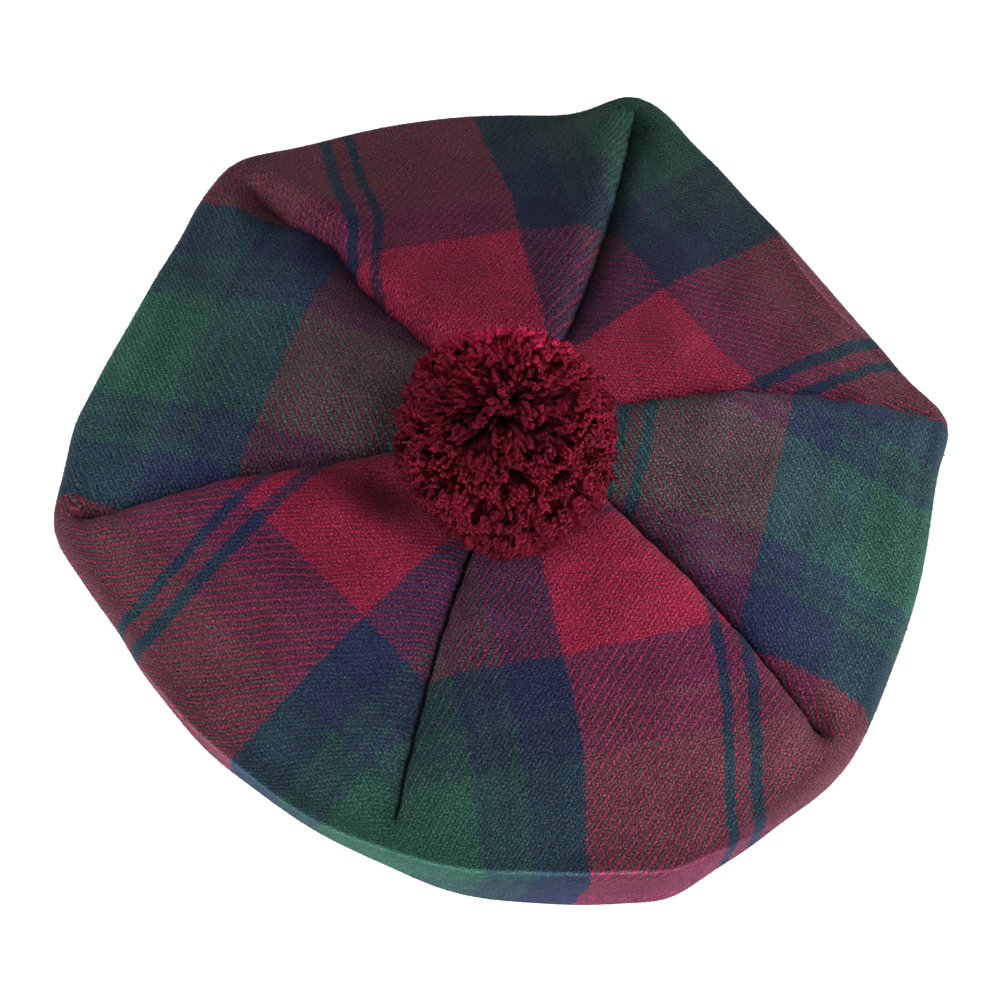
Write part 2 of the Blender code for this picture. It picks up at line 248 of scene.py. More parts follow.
# Ink and pine are the narrow navy and green stripes, whose fibres mingle most.
DYES = {
    "crimson": (0.230, 0.0145, 0.0430),
    "navy": (0.0190, 0.0240, 0.0640),
    "green": (0.0235, 0.0770, 0.0580),
    "ink": (0.0203, 0.0335, 0.0610),
    "pine": (0.0213, 0.0500, 0.0575),
}
HIGHLIGHT_GAIN = 1.95  # how much brighter the painted highlight and sheen make the cloth
FUZZ_AND_HIGHLIGHT_VEIL = (0.011, 0.014, 0.017)  # paleness that the painted highlight and the loose fibres add to every colour
HIGHLIGHT_VEIL_SHARE = 0.45  # how much of it the full painted highlight adds
FUZZ = 2.6  # most of the same paleness that loose fibres add everywhere
STREAK_SHARE = 0.60  # how far streaks in the painted highlight and sheen take the place of the threads' own tones
STREAK_STRETCH = (0.22, 1.6, 1.0)
RIB_SLANT = 0.75  # how far felting draws the floats' steps into one slanting line
RIB_EDGE = 1.12  # half the width of the warp's ribs, in threads; the weft's take up the rest of 4
RIB_SOFT = 0.40  # half the width of the ribs' soft edges
RIB_LINE = 0.5  # half the width of the dark line between two ribs
RIB_FRAY = 0.75  # how far fibres shift them
RIB_SHARES = (0.79, 0.34)  # share of the warp's dye in the middle of its own ribs and of the weft's
FELTED_SHARE = 0.60  # the same share where felting has mixed the ribs wholly
MINGLE_POWER = 0.38  # between 1, which mixes dyes as light does, and 0, which mixes them as paint
STRIP_BLEND = 16.0  # how far from a seam's end its two panels' patterns run together
UNDER_LENGTH = 38.0
DRIFT_TOP = (0.70, 1.02)  # where the stripes' lean comes in, on the top and round the rim
DRIFT_ROLL = (0.0, 0.6)
CONE_GAIN = 0.09  # how much longer the cloth is than its plan
# How far places on the cloth stray: scale and amount of each noise. All of them, the edges of the
# crimson stripes, and those of the others, whose fibres mingle furthest.
SPOT_STRAY = ((0.09, 1.0), (0.42, 0.75))
FIRM_STRAY = ((0.60, 2.4), (1.6, 2.7))
LOOSE_STRAY = ((0.22, 6.0), (0.75, 4.5), (2.0, 6.5))
# Mottles of the cloth: the noise's scale, detail and roughness, the range that is used of it, what
# that range becomes, and whether it ends there.
MOTTLES = {
    "fray": (1.4, 3.5, 0.75, 0.3, 0.7, -RIB_FRAY, RIB_FRAY, False),
    "felt": (0.05, 2.0, 0.5, 0.36, 0.62, 0.08, 0.50, True),
    "grain": (1.15, 2.5, 0.65, 0.32, 0.68, 0.40, 1.60, False),
    "speck": (2.3, 1.5, 0.55, 0.32, 0.68, 0.52, 1.48, False),
    "cloud": (0.05, 2.0, 0.5, 0.3, 0.7, 0.90, 1.08, False),
    "streak": (1.2, 2.0, 0.6, 0.35, 0.65, 0.35, 1.65, False),
    "fuzz": (2.4, 2.5, 0.7, 0.55, 0.75, 0.0, FUZZ, True),
}
GRAIN_LEAST = 0.25
FLOAT_DIP = 0.2  # height of a float's ends against its middle
FINE_GRAIN = (2.2, 3.0, 0.6)  # scale, detail and roughness of the finest bumps
BAND_GRAIN = (1200.0, 3.0, 0.6)
BAND_DYES = (0.010, 0.012, 0.028), (0.028, 0.034, 0.075)  # dark and pale
# Brightness of the cloth as each of these goes from 0 to 1.
OWN_TONES = (0.90, 1.10)  # a float's own number
HUMP_SHADE_TONES = (0.70, 1.30)  # from the foot to the crest of a float: painted shade at its foot, a painted highlight on its crest
RIB_LINE_SHADE_TONES = (1.09, 0.56)  # from the middle of a rib to the line between two: painted shade on that line
# painted shade along the seams and in the hollows beside the pompom
PAINTED_SHADE_TONES = (1.0, 0.15)
# Heights of the cloth's bumps, in millimetres.
EDGE_BUMP, HUMP_BUMP, GRAIN_BUMP, FINE_BUMP = -0.22, 0.20, 0.20, 0.22

# ---- the pompom's yarn ----
YARN_ENDS = 5700  # round the whole ball
YARN_SIDES = 6
YARN_SHARES = np.array((0.0, 0.42, 0.70, 0.88, 1.0))  # places of a yarn's rings, from root to end
YARN_SIZES = np.array((0.8, 0.95, 1.0, 0.94, 0.50))  # its thickness there
YARN_ROOT = 20.0  # radius from which the yarn shows
YARN_LEAST = 3.0  # least room for an end above the crown
YARN_PROUD = 0.5  # how far the ends stand out of the solids' ball
YARN_THICK = 1.12
YARN_THIN = 0.66  # its section's short side against the long one
YARN_LONGER = (0.7, 0.8)  # how unequally long the ends and the tufts are
YARN_UNEVEN = 0.18  # how unequally thick the ends are
YARN_SCATTER = 0.016  # how far the ends stand from an even spread
YARN_TONES = (0.80, 1.20)  # brightness of single ends, and of tufts
YARN_DEPTH_SHADE = 0.52  # painted shade deep between the ends: the yarn's brightness there
YARN_SHADE_DEPTHS = (0.022, 0.0345)  # distances from the middle, in metres, where it starts and ends
YARN_SHADE_POWER = 1.15
YARN_MOTTLE = (900.0, 3.0, 0.7)  # scale for a metre, detail and roughness
YARN_FIBRE = (2400.0, 3.0, 0.7)
YARN_DYES = (0.090, 0.0020, 0.0120), (0.330, 0.0100, 0.0410)  # dark and bright
YARN_DYE_RANGE = (0.3, 0.72)  # of the mottle
PLY_TWIST = 5.0  # length of one turn of the two plies
TUFTS = 640  # neighbouring ends gather into tufts
TUFT_PULL = 0.58  # share of the way by which an end leans in to its tuft's tip
TUFT_PULLS = (0.6, 1.4)  # how far that share differs from end to end
TUFT_LEAN = 2.0  # how far a tuft's tip lies to one side of its middle
TUFT_EDGE = 0.0012  # how uneven the line between two tufts is
LEAN = 2.4  # how strongly neighbouring tufts lean the same way
LEAN_WAVES = ((3.0, 1.0), (6.0, 1.0), (11.0, 0.75), (19.0, 0.42))  # how fine and how strong
LEAN_POWER = 1.7  # how late along its length an end leans
STRAY = 1.1  # how far a single end leans by itself
CURL = 0.7  # how far its last stretch curls to one side
CURL_FROM = 0.6
CURL_POWER = 1.5
PARTING = np.array((0.02, 0.20, 0.98))  # where the ends part over the knot
PARTING_SPLAY = 7.5
PARTING_SPREAD = 0.55
CORE_RADIUS = 21.0
CORE_GAP = 0.5  # its least distance from the crown
CORE_ROWS, CORE_COLUMNS = 24, 48
HAIRS = 3600
HAIR_THICK = 0.040
HAIR_THINNER = 0.8  # its thickness at the bend against that at its foot
HAIR_REACH = 2.2  # most that a hair stands out of the ball
HAIR_LENGTHS = (1.5, 4.5)
HAIR_KNEE = 0.55  # where along a hair its bend is
HAIR_BEND = 0.225  # how far its tip bends away, against its length
HAIR_OUTWARD = 0.8
HAIR_TONES = (0.9, 1.9)
# The ball's lobes and hollows: the direction of each, its spread, how far it stands out and how
# much brighter it is painted: painted light on the top and back, painted shade on the left and front.
LOBES = table(
    "x y z spread push tone",
    (-1, 0, 0.1, 0.3, -2.2, -0.42), (1, 0.1, 0.1, 0.2, -1.8, -0.1),
    (0.1, -0.88, -0.47, 0.14, 1.2, -0.3), (-0.6, -0.7, -0.38, 0.08, -2.6, -0.2),
    (0.2, 0.5, 0.8, 0.1, 0.4, 0), (-0.5, 0.2, 0.8, 0.06, -1, 0),
    (0, 0.88, 0.47, 0.15, -1.6, 4.1), (0, -0.35, 0.94, 0.22, 0, -0.28),
)


# ---- small helpers ----
def smooth_step(low, high, value):
    share = np.clip((value - low) / (high - low), 0.0, 1.0)
    return share * share * (3.0 - 2.0 * share)


def fade(low, high, value):
    return 1.0 - smooth_step(low, high, value)


def mix(first, second, share):
    return first + (second - first) * share


def arch(share):
    return 4.0 * share * (1.0 - share)


def bell(away):
    return np.exp(-away ** 2)


def around(count):
    return np.linspace(0.0, TURN, count, endpoint=False)


def unit(ways):
    return ways / np.linalg.norm(ways, axis=-1, keepdims=True)


def grid_of(across, share):
    """A row for each share, a column for each place across."""
    return np.broadcast_arrays(across[None, :], share[:, None])


def corner(seam):
    turn = math.radians(seam.angle)
    return np.array((math.cos(turn), math.sin(turn))) * seam.radius


def near_end(seam, shares, top):
    """Rises from 0 to 1 between two places by the seam's end."""
    return smooth_step(seam.stop + shares[0], seam.stop + shares[1], top)


def seams_of(panel):
    return SEAMS[panel], SEAMS[(panel + 1) % len(SEAMS)]


def seam_sides(panel, across):
    """A panel's seams, how far across from each, and its side of each: 1 anticlockwise, else -1."""
    here, there = seams_of(panel)
    return (here, across, 1), (there, 1.0 - across, -1)


def direction(plan):
    return np.degrees(np.arctan2(plan[..., 1], plan[..., 0]))


# ---- plan of the crown ----
def chord_of(panel):
    """The corner that a panel's rim starts from, and the straight way to the next one."""
    start, end = (corner(seam) for seam in seams_of(panel))
    return start, end - start


def chord_length(panel):
    return float(np.linalg.norm(chord_of(panel)[1]))


def rim_bulge(panel, across):
    shape = PANELS[panel]
    return shape.bulge * arch(across) * (1.0 + shape.skew * (2.0 * across - 1.0) * 2.0)


def rim_point(panel, across):
    start, chord = chord_of(panel)
    outward = np.array((chord[1], -chord[0])) / np.linalg.norm(chord)
    return start + chord * across[..., None] + outward * rim_bulge(panel, across)[..., None]


def rounded_rim(panel, across):
    """The rim with its corners rounded off, by a weighted mean with points either side."""
    total = np.zeros(across.shape + (2,))
    length = chord_length(panel)
    before, after = (panel - 1) % len(PANELS), (panel + 1) % len(PANELS)
    for step, weight in CORNER_WEIGHTS:
        place = across * length + step * CORNER_ROUND
        point = rim_point(panel, place / length)
        low = rim_point(before, 1.0 + place / chord_length(before))
        high = rim_point(after, (place - length) / chord_length(after))
        point = np.where((place < 0.0)[..., None], low, point)
        point = np.where((place > length)[..., None], high, point)
        total += point * weight
    return total / sum(weight for _, weight in CORNER_WEIGHTS)


def between_panels(panel, across, name):
    """A panel's value, which blends into its neighbours' at the seams."""
    before, own, after = (getattr(PANELS[(panel + step) % len(PANELS)], name) for step in (-1, 0, 1))
    left = mix(0.5 * (before + own), own, smooth_step(0.0, 0.5, across))
    return mix(left, 0.5 * (own + after), smooth_step(0.5, 1.0, across))


def rim_hang(panel, across):
    here, there = seams_of(panel)
    chord = mix(here.hang, there.hang, across)
    return mix(chord, PANELS[panel].hang, np.sin(np.pi * across) ** 2)


# ---- section of the cloth ----
def roll_section(radius, crease, slope):
    power = 2.0 / (2.0 + CREASE_SHARPNESS * crease)
    cosine = np.abs(np.cos(np.radians(slope))) ** power
    sine = np.sin(np.radians(slope))
    up = RIM_HALF_HEIGHT * np.sign(sine) * np.abs(sine) ** power
    return radius - RIM_HALF_WIDTH + RIM_HALF_WIDTH * cosine, RIM_CENTRE_Z + up


def section_point(stretch, share, radius, crease):
    """Distance from the axis and height of the cloth's outer face, before its relief."""
    if stretch == "top":
        edge, edge_z = roll_section(radius, crease, ROLL_START)
        reach = mix(APEX_HOLE / edge, 1.0, share)
        return edge * reach, edge_z + DOME_RISE * (1.0 - reach ** DOME_POWER)
    if stretch == "roll":
        return roll_section(radius, crease, mix(ROLL_START, ROLL_END, share))
    start, start_z = roll_section(radius, crease, ROLL_END)
    end = BAND_RADIUS + BAND_THICKNESS + SEWN_GAP
    return mix(start, end, share), mix(start_z, SEWN_Z, share ** SEWN_POWER)


def relief(panel, across, top, width):
    """Height of puffs, grooves and dents on the top, above the plain dome."""
    rise = PANELS[panel].puff * arch(across) * np.sin(np.pi * top)
    start = smooth_step(*RELIEF_START, top)
    for seam, share, side in seam_sides(panel, across):
        away = share * width
        fold = side * seam.fold
        lift = seam.lift_after if side > 0 else seam.lift_before
        stitched = start * (1.0 - near_end(seam, GROOVE_FADE, top))
        puffed = start * fade(seam.stop + PUFF_FADE, 1.0, top)
        crest = (away / LIFT_WIDTH) * np.exp(1.0 - away / LIFT_WIDTH)
        rise = rise + lift * puffed * crest * (1.0 - share) ** 2
        rise = rise - seam.groove * stitched * np.exp(-away / GROOVE_WIDTH)
        rise = rise - seam.notch * stitched * bell(away / NOTCH_WIDTH)
        lap = np.exp(-away / FOLD_WIDTH) * (1.0 - np.exp(-away / FOLD_EDGE))
        rise = rise + fold * stitched * lap * (1.0 if fold > 0.0 else LAP_UNDER)
        reach = mix(VALLEY_CLIFF if fold > 0.0 else VALLEY_WIDTH, VALLEY_END,
                    near_end(seam, VALLEY_CHANGE, top))
        rise = rise - seam.valley * puffed * bell(away / reach)
        pucker = np.cos(TURN * top * seam.radius / PUCKER_LENGTH + seam.angle)
        rise = rise + PUCKER_HEIGHT * pucker * stitched * lap
        along = (top - seam.stop) * seam.radius
        dent = bell(away / DENT_RADIUS) * bell(along / (DENT_LONG * DENT_RADIUS))
        rise = rise - seam.dent * dent * fade(seam.stop + DENT_FADE, 1.0, top)
    return rise


def seam_wave(seam, top):
    """Sideways waves and kinks of a seam, besides its bow."""
    length, height = SEAM_WAVE
    finer, lower = SECOND_WAVE
    run = TURN * top * seam.radius / length
    wave = height * (np.sin(run + seam.angle) + lower * np.sin(finer * run + 2.0 * seam.angle))
    for kink in KINKS:
        if SEAMS[kink.seam] == seam:
            wave = wave + kink.push * bell((top - kink.place) / kink.spread)
    return wave


def swells(plan, top):
    """Slow unevenness of the cloth, a function of the plan alone, so that it runs over seams."""
    total = np.zeros(plan.shape[:-1])
    for swell in SWELLS:
        way = math.radians(swell.way)
        run = plan[..., 0] * math.cos(way) + plan[..., 1] * math.sin(way)
        total += swell.height * np.sin(TURN * run / swell.length + swell.start)
    return total * smooth_step(*SWELL_FADES[0], top) * fade(*SWELL_FADES[1], top)


def hollows(plan):
    """Depth of the hollows beside the pompom."""
    total = np.zeros(plan.shape[:-1])
    for hollow in HOLLOWS:
        way = math.radians(hollow.way)
        x = plan[..., 0] - hollow.x
        y = plan[..., 1] - hollow.y
        along = (x * math.cos(way) + y * math.sin(way)) / hollow.length
        beside = (y * math.cos(way) - x * math.sin(way)) / hollow.width
        total += hollow.depth * bell(along) * bell(beside)
    return total


def by_direction(turn, rows, name):
    """A column of a fold's rows, read by direction, with its corners smoothed off."""
    angles = [row.angle for row in rows]
    values = [getattr(row, name) for row in rows]
    return sum(np.interp(turn + step, angles, values) for step in FOLD_ROUND) / len(FOLD_ROUND)


def past_folds(rim, stretch, share):
    """For each pressed fold, how far past it a point lies along the cloth, and the fold's height."""
    turn = direction(rim) % 360.0
    place = (share - 1.0) * TOP_RUN if stretch == "top" else share * RIM_RUN
    if stretch == "under":
        place = place + RIM_RUN
    return [(place - by_direction(turn, rows, "place"), by_direction(turn, rows, "height"))
            for rows in (FRONT_FOLD, BACK_FOLD)]


def fold_ridges(rim, stretch, share):
    """Height of the creased folds round the rim."""
    total = np.zeros(share.shape)
    for past, height in past_folds(rim, stretch, share):
        inside = np.clip(1.0 + np.minimum(past, 0.0) / RIDGE_INSIDE, 0.0, 1.0) ** 2
        outside = np.clip(1.0 - np.maximum(past, 0.0) / RIDGE_OUTSIDE, 0.0, 1.0) ** 2
        total += height * inside * outside
    return total


def cloth_marks(panel, across, stretch, share):
    """How the cloth's brightness is painted.

    A painted highlight and sheen along the folds and on the edges of laps, and painted shade along
    the seams and in the hollows beside the pompom, each from 0 to 1; and painted light and shade on
    each panel's green and navy.
    """
    across, share = grid_of(across, share)
    rim = rounded_rim(panel, across)
    painted_highlight = np.zeros(share.shape)
    for past, height in past_folds(rim, stretch, share):
        # Painted highlight on the fold line, and painted sheen on the band below it.
        line = HIGHLIGHT_SHARES[0] * bell(past / HIGHLIGHT_LINE)
        band = HIGHLIGHT_SHARES[1] * smooth_step(*SHEEN_BAND_START, past) * fade(*SHEEN_BAND_END, past)
        painted_highlight += height / RIDGE_FULL * np.maximum(line, band)
    painted_shade = np.zeros(share.shape)
    top = share if stretch == "top" else np.ones_like(share)
    # Painted light and shade on each panel's green and navy, run into its neighbours' round the rim.
    around_rim = between_panels(panel, across, "shade")
    shade = mix(PANELS[panel].shade, around_rim, smooth_step(*PANEL_LIGHT_BLEND, top))
    if stretch == "top":
        width = share * np.linalg.norm(rim, axis=-1) * PANEL_ANGLE
        for seam, part, side in seam_sides(panel, across):
            sewn = smooth_step(*RELIEF_START, share) * (1.0 - near_end(seam, SEAM_SHADE_FADE, share))
            # Painted shade along the line of the stitches.
            line = bell(part * width / SEAM_SHADE_WIDTH)
            painted_shade = np.maximum(painted_shade, seam.press * sewn * line)
            # Painted highlight on the edge of a lap.
            edge = bell((part * width - LAP_EDGE[0]) / LAP_EDGE[1])
            painted_highlight += LAP_HIGHLIGHT * max(side * seam.fold, 0.0) * sewn * edge
        # Painted shade in the hollows beside the pompom.
        painted_shade = np.maximum(painted_shade, HOLLOW_SHADE * hollows(rim * share[..., None]))
    return {"painted_highlight": painted_highlight, "painted_shade": painted_shade, "shade": shade}


def gathers(across, under):
    ends = smooth_step(*GATHER_FADES[0], under) * fade(*GATHER_FADES[1], under)
    return GATHER_DEPTH * ends * np.cos(TURN * GATHERS_PER_PANEL * across)


def rim_push(rim):
    """Outward push of the rim by its dents and bumps."""
    turn = direction(rim)
    total = np.zeros(turn.shape)
    for bump in RIM_BUMPS:
        away = (turn - bump.angle + 180.0) % 360.0 - 180.0
        total += bump.push * bell(away / bump.spread)
    return total


def cloth_points(panel, across, stretch, share, depth):
    """A grid of points of the cloth, `depth` inside its outer face."""
    across, share = grid_of(across, share)
    rim = rounded_rim(panel, across)
    radius = np.linalg.norm(rim, axis=-1)
    way = rim / radius[..., None]
    crease = between_panels(panel, across, "crease")
    low, high = (section_point(stretch, np.clip(share + step, 0.0, 1.0), radius, crease)
                 for step in (-SLOPE_STEP, SLOPE_STEP))
    run = np.hypot(high[0] - low[0], high[1] - low[1])
    distance, height = section_point(stretch, share, radius, crease)
    raised = fold_ridges(rim, stretch, share) if stretch != "under" else 0.0
    out = (raised - depth) / run
    distance = distance - (high[1] - low[1]) * out
    height = height + (high[0] - low[0]) * out
    reach = (distance - BAND_RADIUS) / (radius - BAND_RADIUS)
    height = height + rim_hang(panel, across) * smooth_step(*HANG_SHARES, reach)
    distance = distance + rim_push(rim) * smooth_step(RIM_PUSH_FROM, 1.0, distance / radius)
    plan = way * distance[..., None]
    if stretch == "under":
        height = height - gathers(across, share)
    if stretch == "top":
        height = height + relief(panel, across, share, distance * PANEL_ANGLE)
        here, there = seams_of(panel)
        bow = mix(here.bow, there.bow, across) * arch(share)
        wave = mix(seam_wave(here, share), seam_wave(there, share), across)
        bow = bow + wave * smooth_step(*RELIEF_START, share) * fade(*WAVE_FADE, share)
        side = np.stack((-way[..., 1], way[..., 0]), axis=-1)
        plan = plan + side * bow[..., None] + APEX_LEAN * ((1.0 - share) ** 2)[..., None]
        height = height + swells(plan, share) - hollows(plan)
    return np.concatenate((plan, height[..., None]), axis=-1)


# ---- places on the cloth, for its pattern ----
def weave_places(panel, across, stretch, share):
    """Where each point lies on the flat cloth: along the strip, and in from its green stripe."""
    across, share = grid_of(across, share)
    start, chord = chord_of(panel)
    length = np.linalg.norm(chord)
    foot = -float(start @ chord) / length
    height = abs(chord[0] * start[1] - chord[1] * start[0]) / length
    top = share if stretch == "top" else np.ones_like(share)
    along = (foot + top * (across * length - foot)) / length
    shape = PANELS[panel]
    drift = between_panels(panel, across, "drift")
    u = mix(shape.strip_from, shape.strip_to, along) + drift * smooth_step(*DRIFT_TOP, top)
    v = (1.0 - top) * height * (1.0 + CONE_GAIN * (1.0 + top) * 0.5)
    v = v - top * rim_bulge(panel, across) - shape.weft
    if stretch != "top":
        past = share if stretch == "roll" else 1.0
        u = u + drift * smooth_step(*DRIFT_ROLL, past)
        v = v - between_panels(panel, across, "roll") * past
    if stretch == "under":
        v = v - share * UNDER_LENGTH
    for seam, part, side in seam_sides(panel, across):
        neighbour = PANELS[(panel - side) % len(PANELS)]
        past = near_end(seam, STRIP_CHANGE, top) if seam.stop < 1.0 else 0.0
        near = np.exp(-(part * length / STRIP_BLEND)) * past
        v = v + 0.5 * (shape.weft - neighbour.weft) * near
    return np.stack((u, v), axis=-1)


# ---- meshes ----
def new_piece(name, points, faces, material, node, marks=None, weave=None):
    """One mesh object that rides on the hat and replaces a node of the solids.

    `marks` maps a name to a number for each point, and `weave` is each point's place on the cloth.
    """
    data = bpy.data.meshes.new(name)
    data.vertices.add(len(points))
    data.vertices.foreach_set("co", ((points + OFFSET) * MM).ravel().astype(np.float32))
    data.loops.add(faces.size)
    data.loops.foreach_set("vertex_index", faces.ravel().astype(np.int32))
    data.polygons.add(len(faces))
    data.polygons.foreach_set("loop_start", np.arange(len(faces), dtype=np.int32) * faces.shape[1])
    if weave is not None:
        layer = data.uv_layers.new(name="weave")
        layer.data.foreach_set("uv", weave[faces.ravel()].ravel().astype(np.float32))
    for mark, values in (marks or {}).items():
        layer = data.attributes.new(name=mark, type="FLOAT", domain="POINT")
        layer.data.foreach_set("value", values.ravel().astype(np.float32))
    data.update(calc_edges=True)
    data.validate()
    data.shade_smooth()
    data.set_sharp_from_angle(angle=SHARP_ANGLE)
    data.materials.append(material)
    piece = bpy.data.objects.new(name, data)
    bpy.context.scene.collection.objects.link(piece)
    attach(piece, "root")
    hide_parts(node)
    return piece


def numbered(rows, columns):
    return np.arange(rows * columns).reshape(rows, columns)


def grid_faces(index):
    """Faces between the points of a grid, given by their numbers."""
    quads = np.stack((index[:-1, :-1], index[1:, :-1], index[1:, 1:], index[:-1, 1:]), axis=-1)
    return quads.reshape(-1, 4)


def ring_faces(rings, sides, closed=False):
    """Faces between rings of points. `closed` also joins the last ring to the first."""
    return grid_faces(np.pad(numbered(rings, sides), ((0, int(closed)), (0, 1)), mode="wrap"))


OTHER_WAY = (0, 3, 2, 1)  # turns a face over


def triangles(quads):
    return quads[:, (0, 1, 2, 0, 2, 3)].reshape(-1, 3)


def repeated(faces, count, points):
    """The same faces for each of `count` shapes with this many points."""
    return (faces[None] + (np.arange(count) * points)[:, None, None]).reshape(-1, faces.shape[1])


def two_sides(ways):
    """Two directions at right angles to each way and to each other."""
    helper = np.where(np.abs(ways[:, 2:]) < 0.9, np.array((0.0, 0.0, 1.0)), np.array((1.0, 0.0, 0.0)))
    first = unit(np.cross(ways, helper))
    return first, np.cross(ways, first)


def triangle_round(ways):
    """Three directions round each way, for the section of a hair."""
    first, second = two_sides(ways)
    angle = around(3)[:, None]
    return first[:, None] * np.cos(angle) + second[:, None] * np.sin(angle)


def over_cloth(measure, panel, *more):
    """What `measure` gives for each stretch of a panel's cloth, from the apex to the headband."""
    even = np.linspace(0.0, 1.0, COLUMNS)
    across = even - COLUMN_CROWDING * np.sin(TURN * even)
    stretches = (
        ("top", np.linspace(0.0, RIM_ROWS_FROM, INNER_ROWS, endpoint=False)),
        ("top", np.linspace(RIM_ROWS_FROM, 1.0, RIM_ROWS, endpoint=False)),
        ("roll", np.linspace(0.0, 1.0, ROLL_ROWS, endpoint=False)),
        ("under", np.linspace(0.0, 1.0, UNDER_ROWS)),
    )
    return [measure(panel, across, name, share, *more) for name, share in stretches]


def build_panel(panel, material):
    """A panel's cloth: its outer and its inner face, and the walls between their edges."""
    outer, inner = [np.concatenate(over_cloth(cloth_points, panel, depth)) for depth in (0.0, CLOTH)]
    weave = np.concatenate(over_cloth(weave_places, panel))
    marks = over_cloth(cloth_marks, panel)
    marks = {key: np.concatenate([part[key] for part in marks]) for key in marks[0]}
    index = numbered(*outer.shape[:2])
    edge = np.concatenate((index[0], index[1:, -1], index[-1, -2::-1], index[-2:0:-1, 0]))
    following = np.roll(edge, -1)
    walls = np.stack((edge, following, following + index.size, edge + index.size), axis=-1)
    faces = np.concatenate((grid_faces(index), grid_faces(index + index.size)[:, ::-1], walls))
    new_piece(f"crown_cloth_{panel + 1}", np.concatenate((outer, inner)).reshape(-1, 3), faces, material,
              f"crown_panel_{panel + 1}",
              {key: np.tile(values.ravel(), 2) for key, values in marks.items()},
              np.concatenate((weave, weave)).reshape(-1, 2))
    build_nap(panel, outer, weave, marks, material)


def build_nap(panel, outer, weave, marks, material):
    """Short fibres that stand off the cloth, each a thin spike in its thread's colour."""
    normal = np.cross(outer[1:, 1:] - outer[:-1, :-1], outer[:-1, 1:] - outer[1:, :-1])
    area = np.linalg.norm(normal, axis=-1)
    odds = area.copy()
    odds[INNER_ROWS:INNER_ROWS + RIM_ROWS + ROLL_ROWS] *= NAP_ON_RIM
    odds = (odds / odds.sum()).ravel()
    picks = rng.choice(odds.size, NAP_HAIRS, p=odds)
    row, column = np.divmod(picks, outer.shape[1] - 1)
    shift = rng.uniform(0.0, 1.0, (2, NAP_HAIRS, 1))
    start = mix(mix(outer[row, column], outer[row + 1, column], shift[0]),
                mix(outer[row, column + 1], outer[row + 1, column + 1], shift[0]), shift[1])
    way = normal[row, column] / area[row, column][:, None]
    lean = rng.normal(0.0, 1.0, (NAP_HAIRS, 3))
    stray = unit(way * rng.uniform(*NAP_STANDING, (NAP_HAIRS, 1)) + lean * NAP_LEAN)
    length = rng.gamma(NAP_EVENNESS, NAP_LENGTH / NAP_EVENNESS, (NAP_HAIRS, 1)).clip(*NAP_LIMITS)
    foot = start - way * NAP_ROOT
    points = np.concatenate((foot[:, None] + triangle_round(stray) * NAP_THICK,
                             (foot + stray * length)[:, None]), axis=1)
    faces = repeated(np.array(((2, 1, 0), (0, 1, 3), (1, 2, 3), (2, 0, 3))), NAP_HAIRS, 4)
    marks = {key: np.repeat(values[row, column], 4) for key, values in marks.items()}
    # The fibres carry the painted highlight, shade and panel light of the cloth beneath, and each is paler by
    # a random amount on top of the painted highlight.
    marks["painted_highlight"] = marks["painted_highlight"] + np.repeat(rng.uniform(0.0, NAP_PALE, NAP_HAIRS), 4)
    new_piece(f"crown_nap_{panel + 1}", points.reshape(-1, 3), faces, material,
              f"crown_panel_{panel + 1}", marks, np.repeat(weave[row, column], 4, axis=0))


def hat_offset():
    """The headband's axis in the frame: the hat is centred by its outline, not by its band."""
    low, high = np.array(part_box("headband"))
    return (low + high) * (0.5, 0.5, 0.0) / MM


OFFSET = hat_offset()


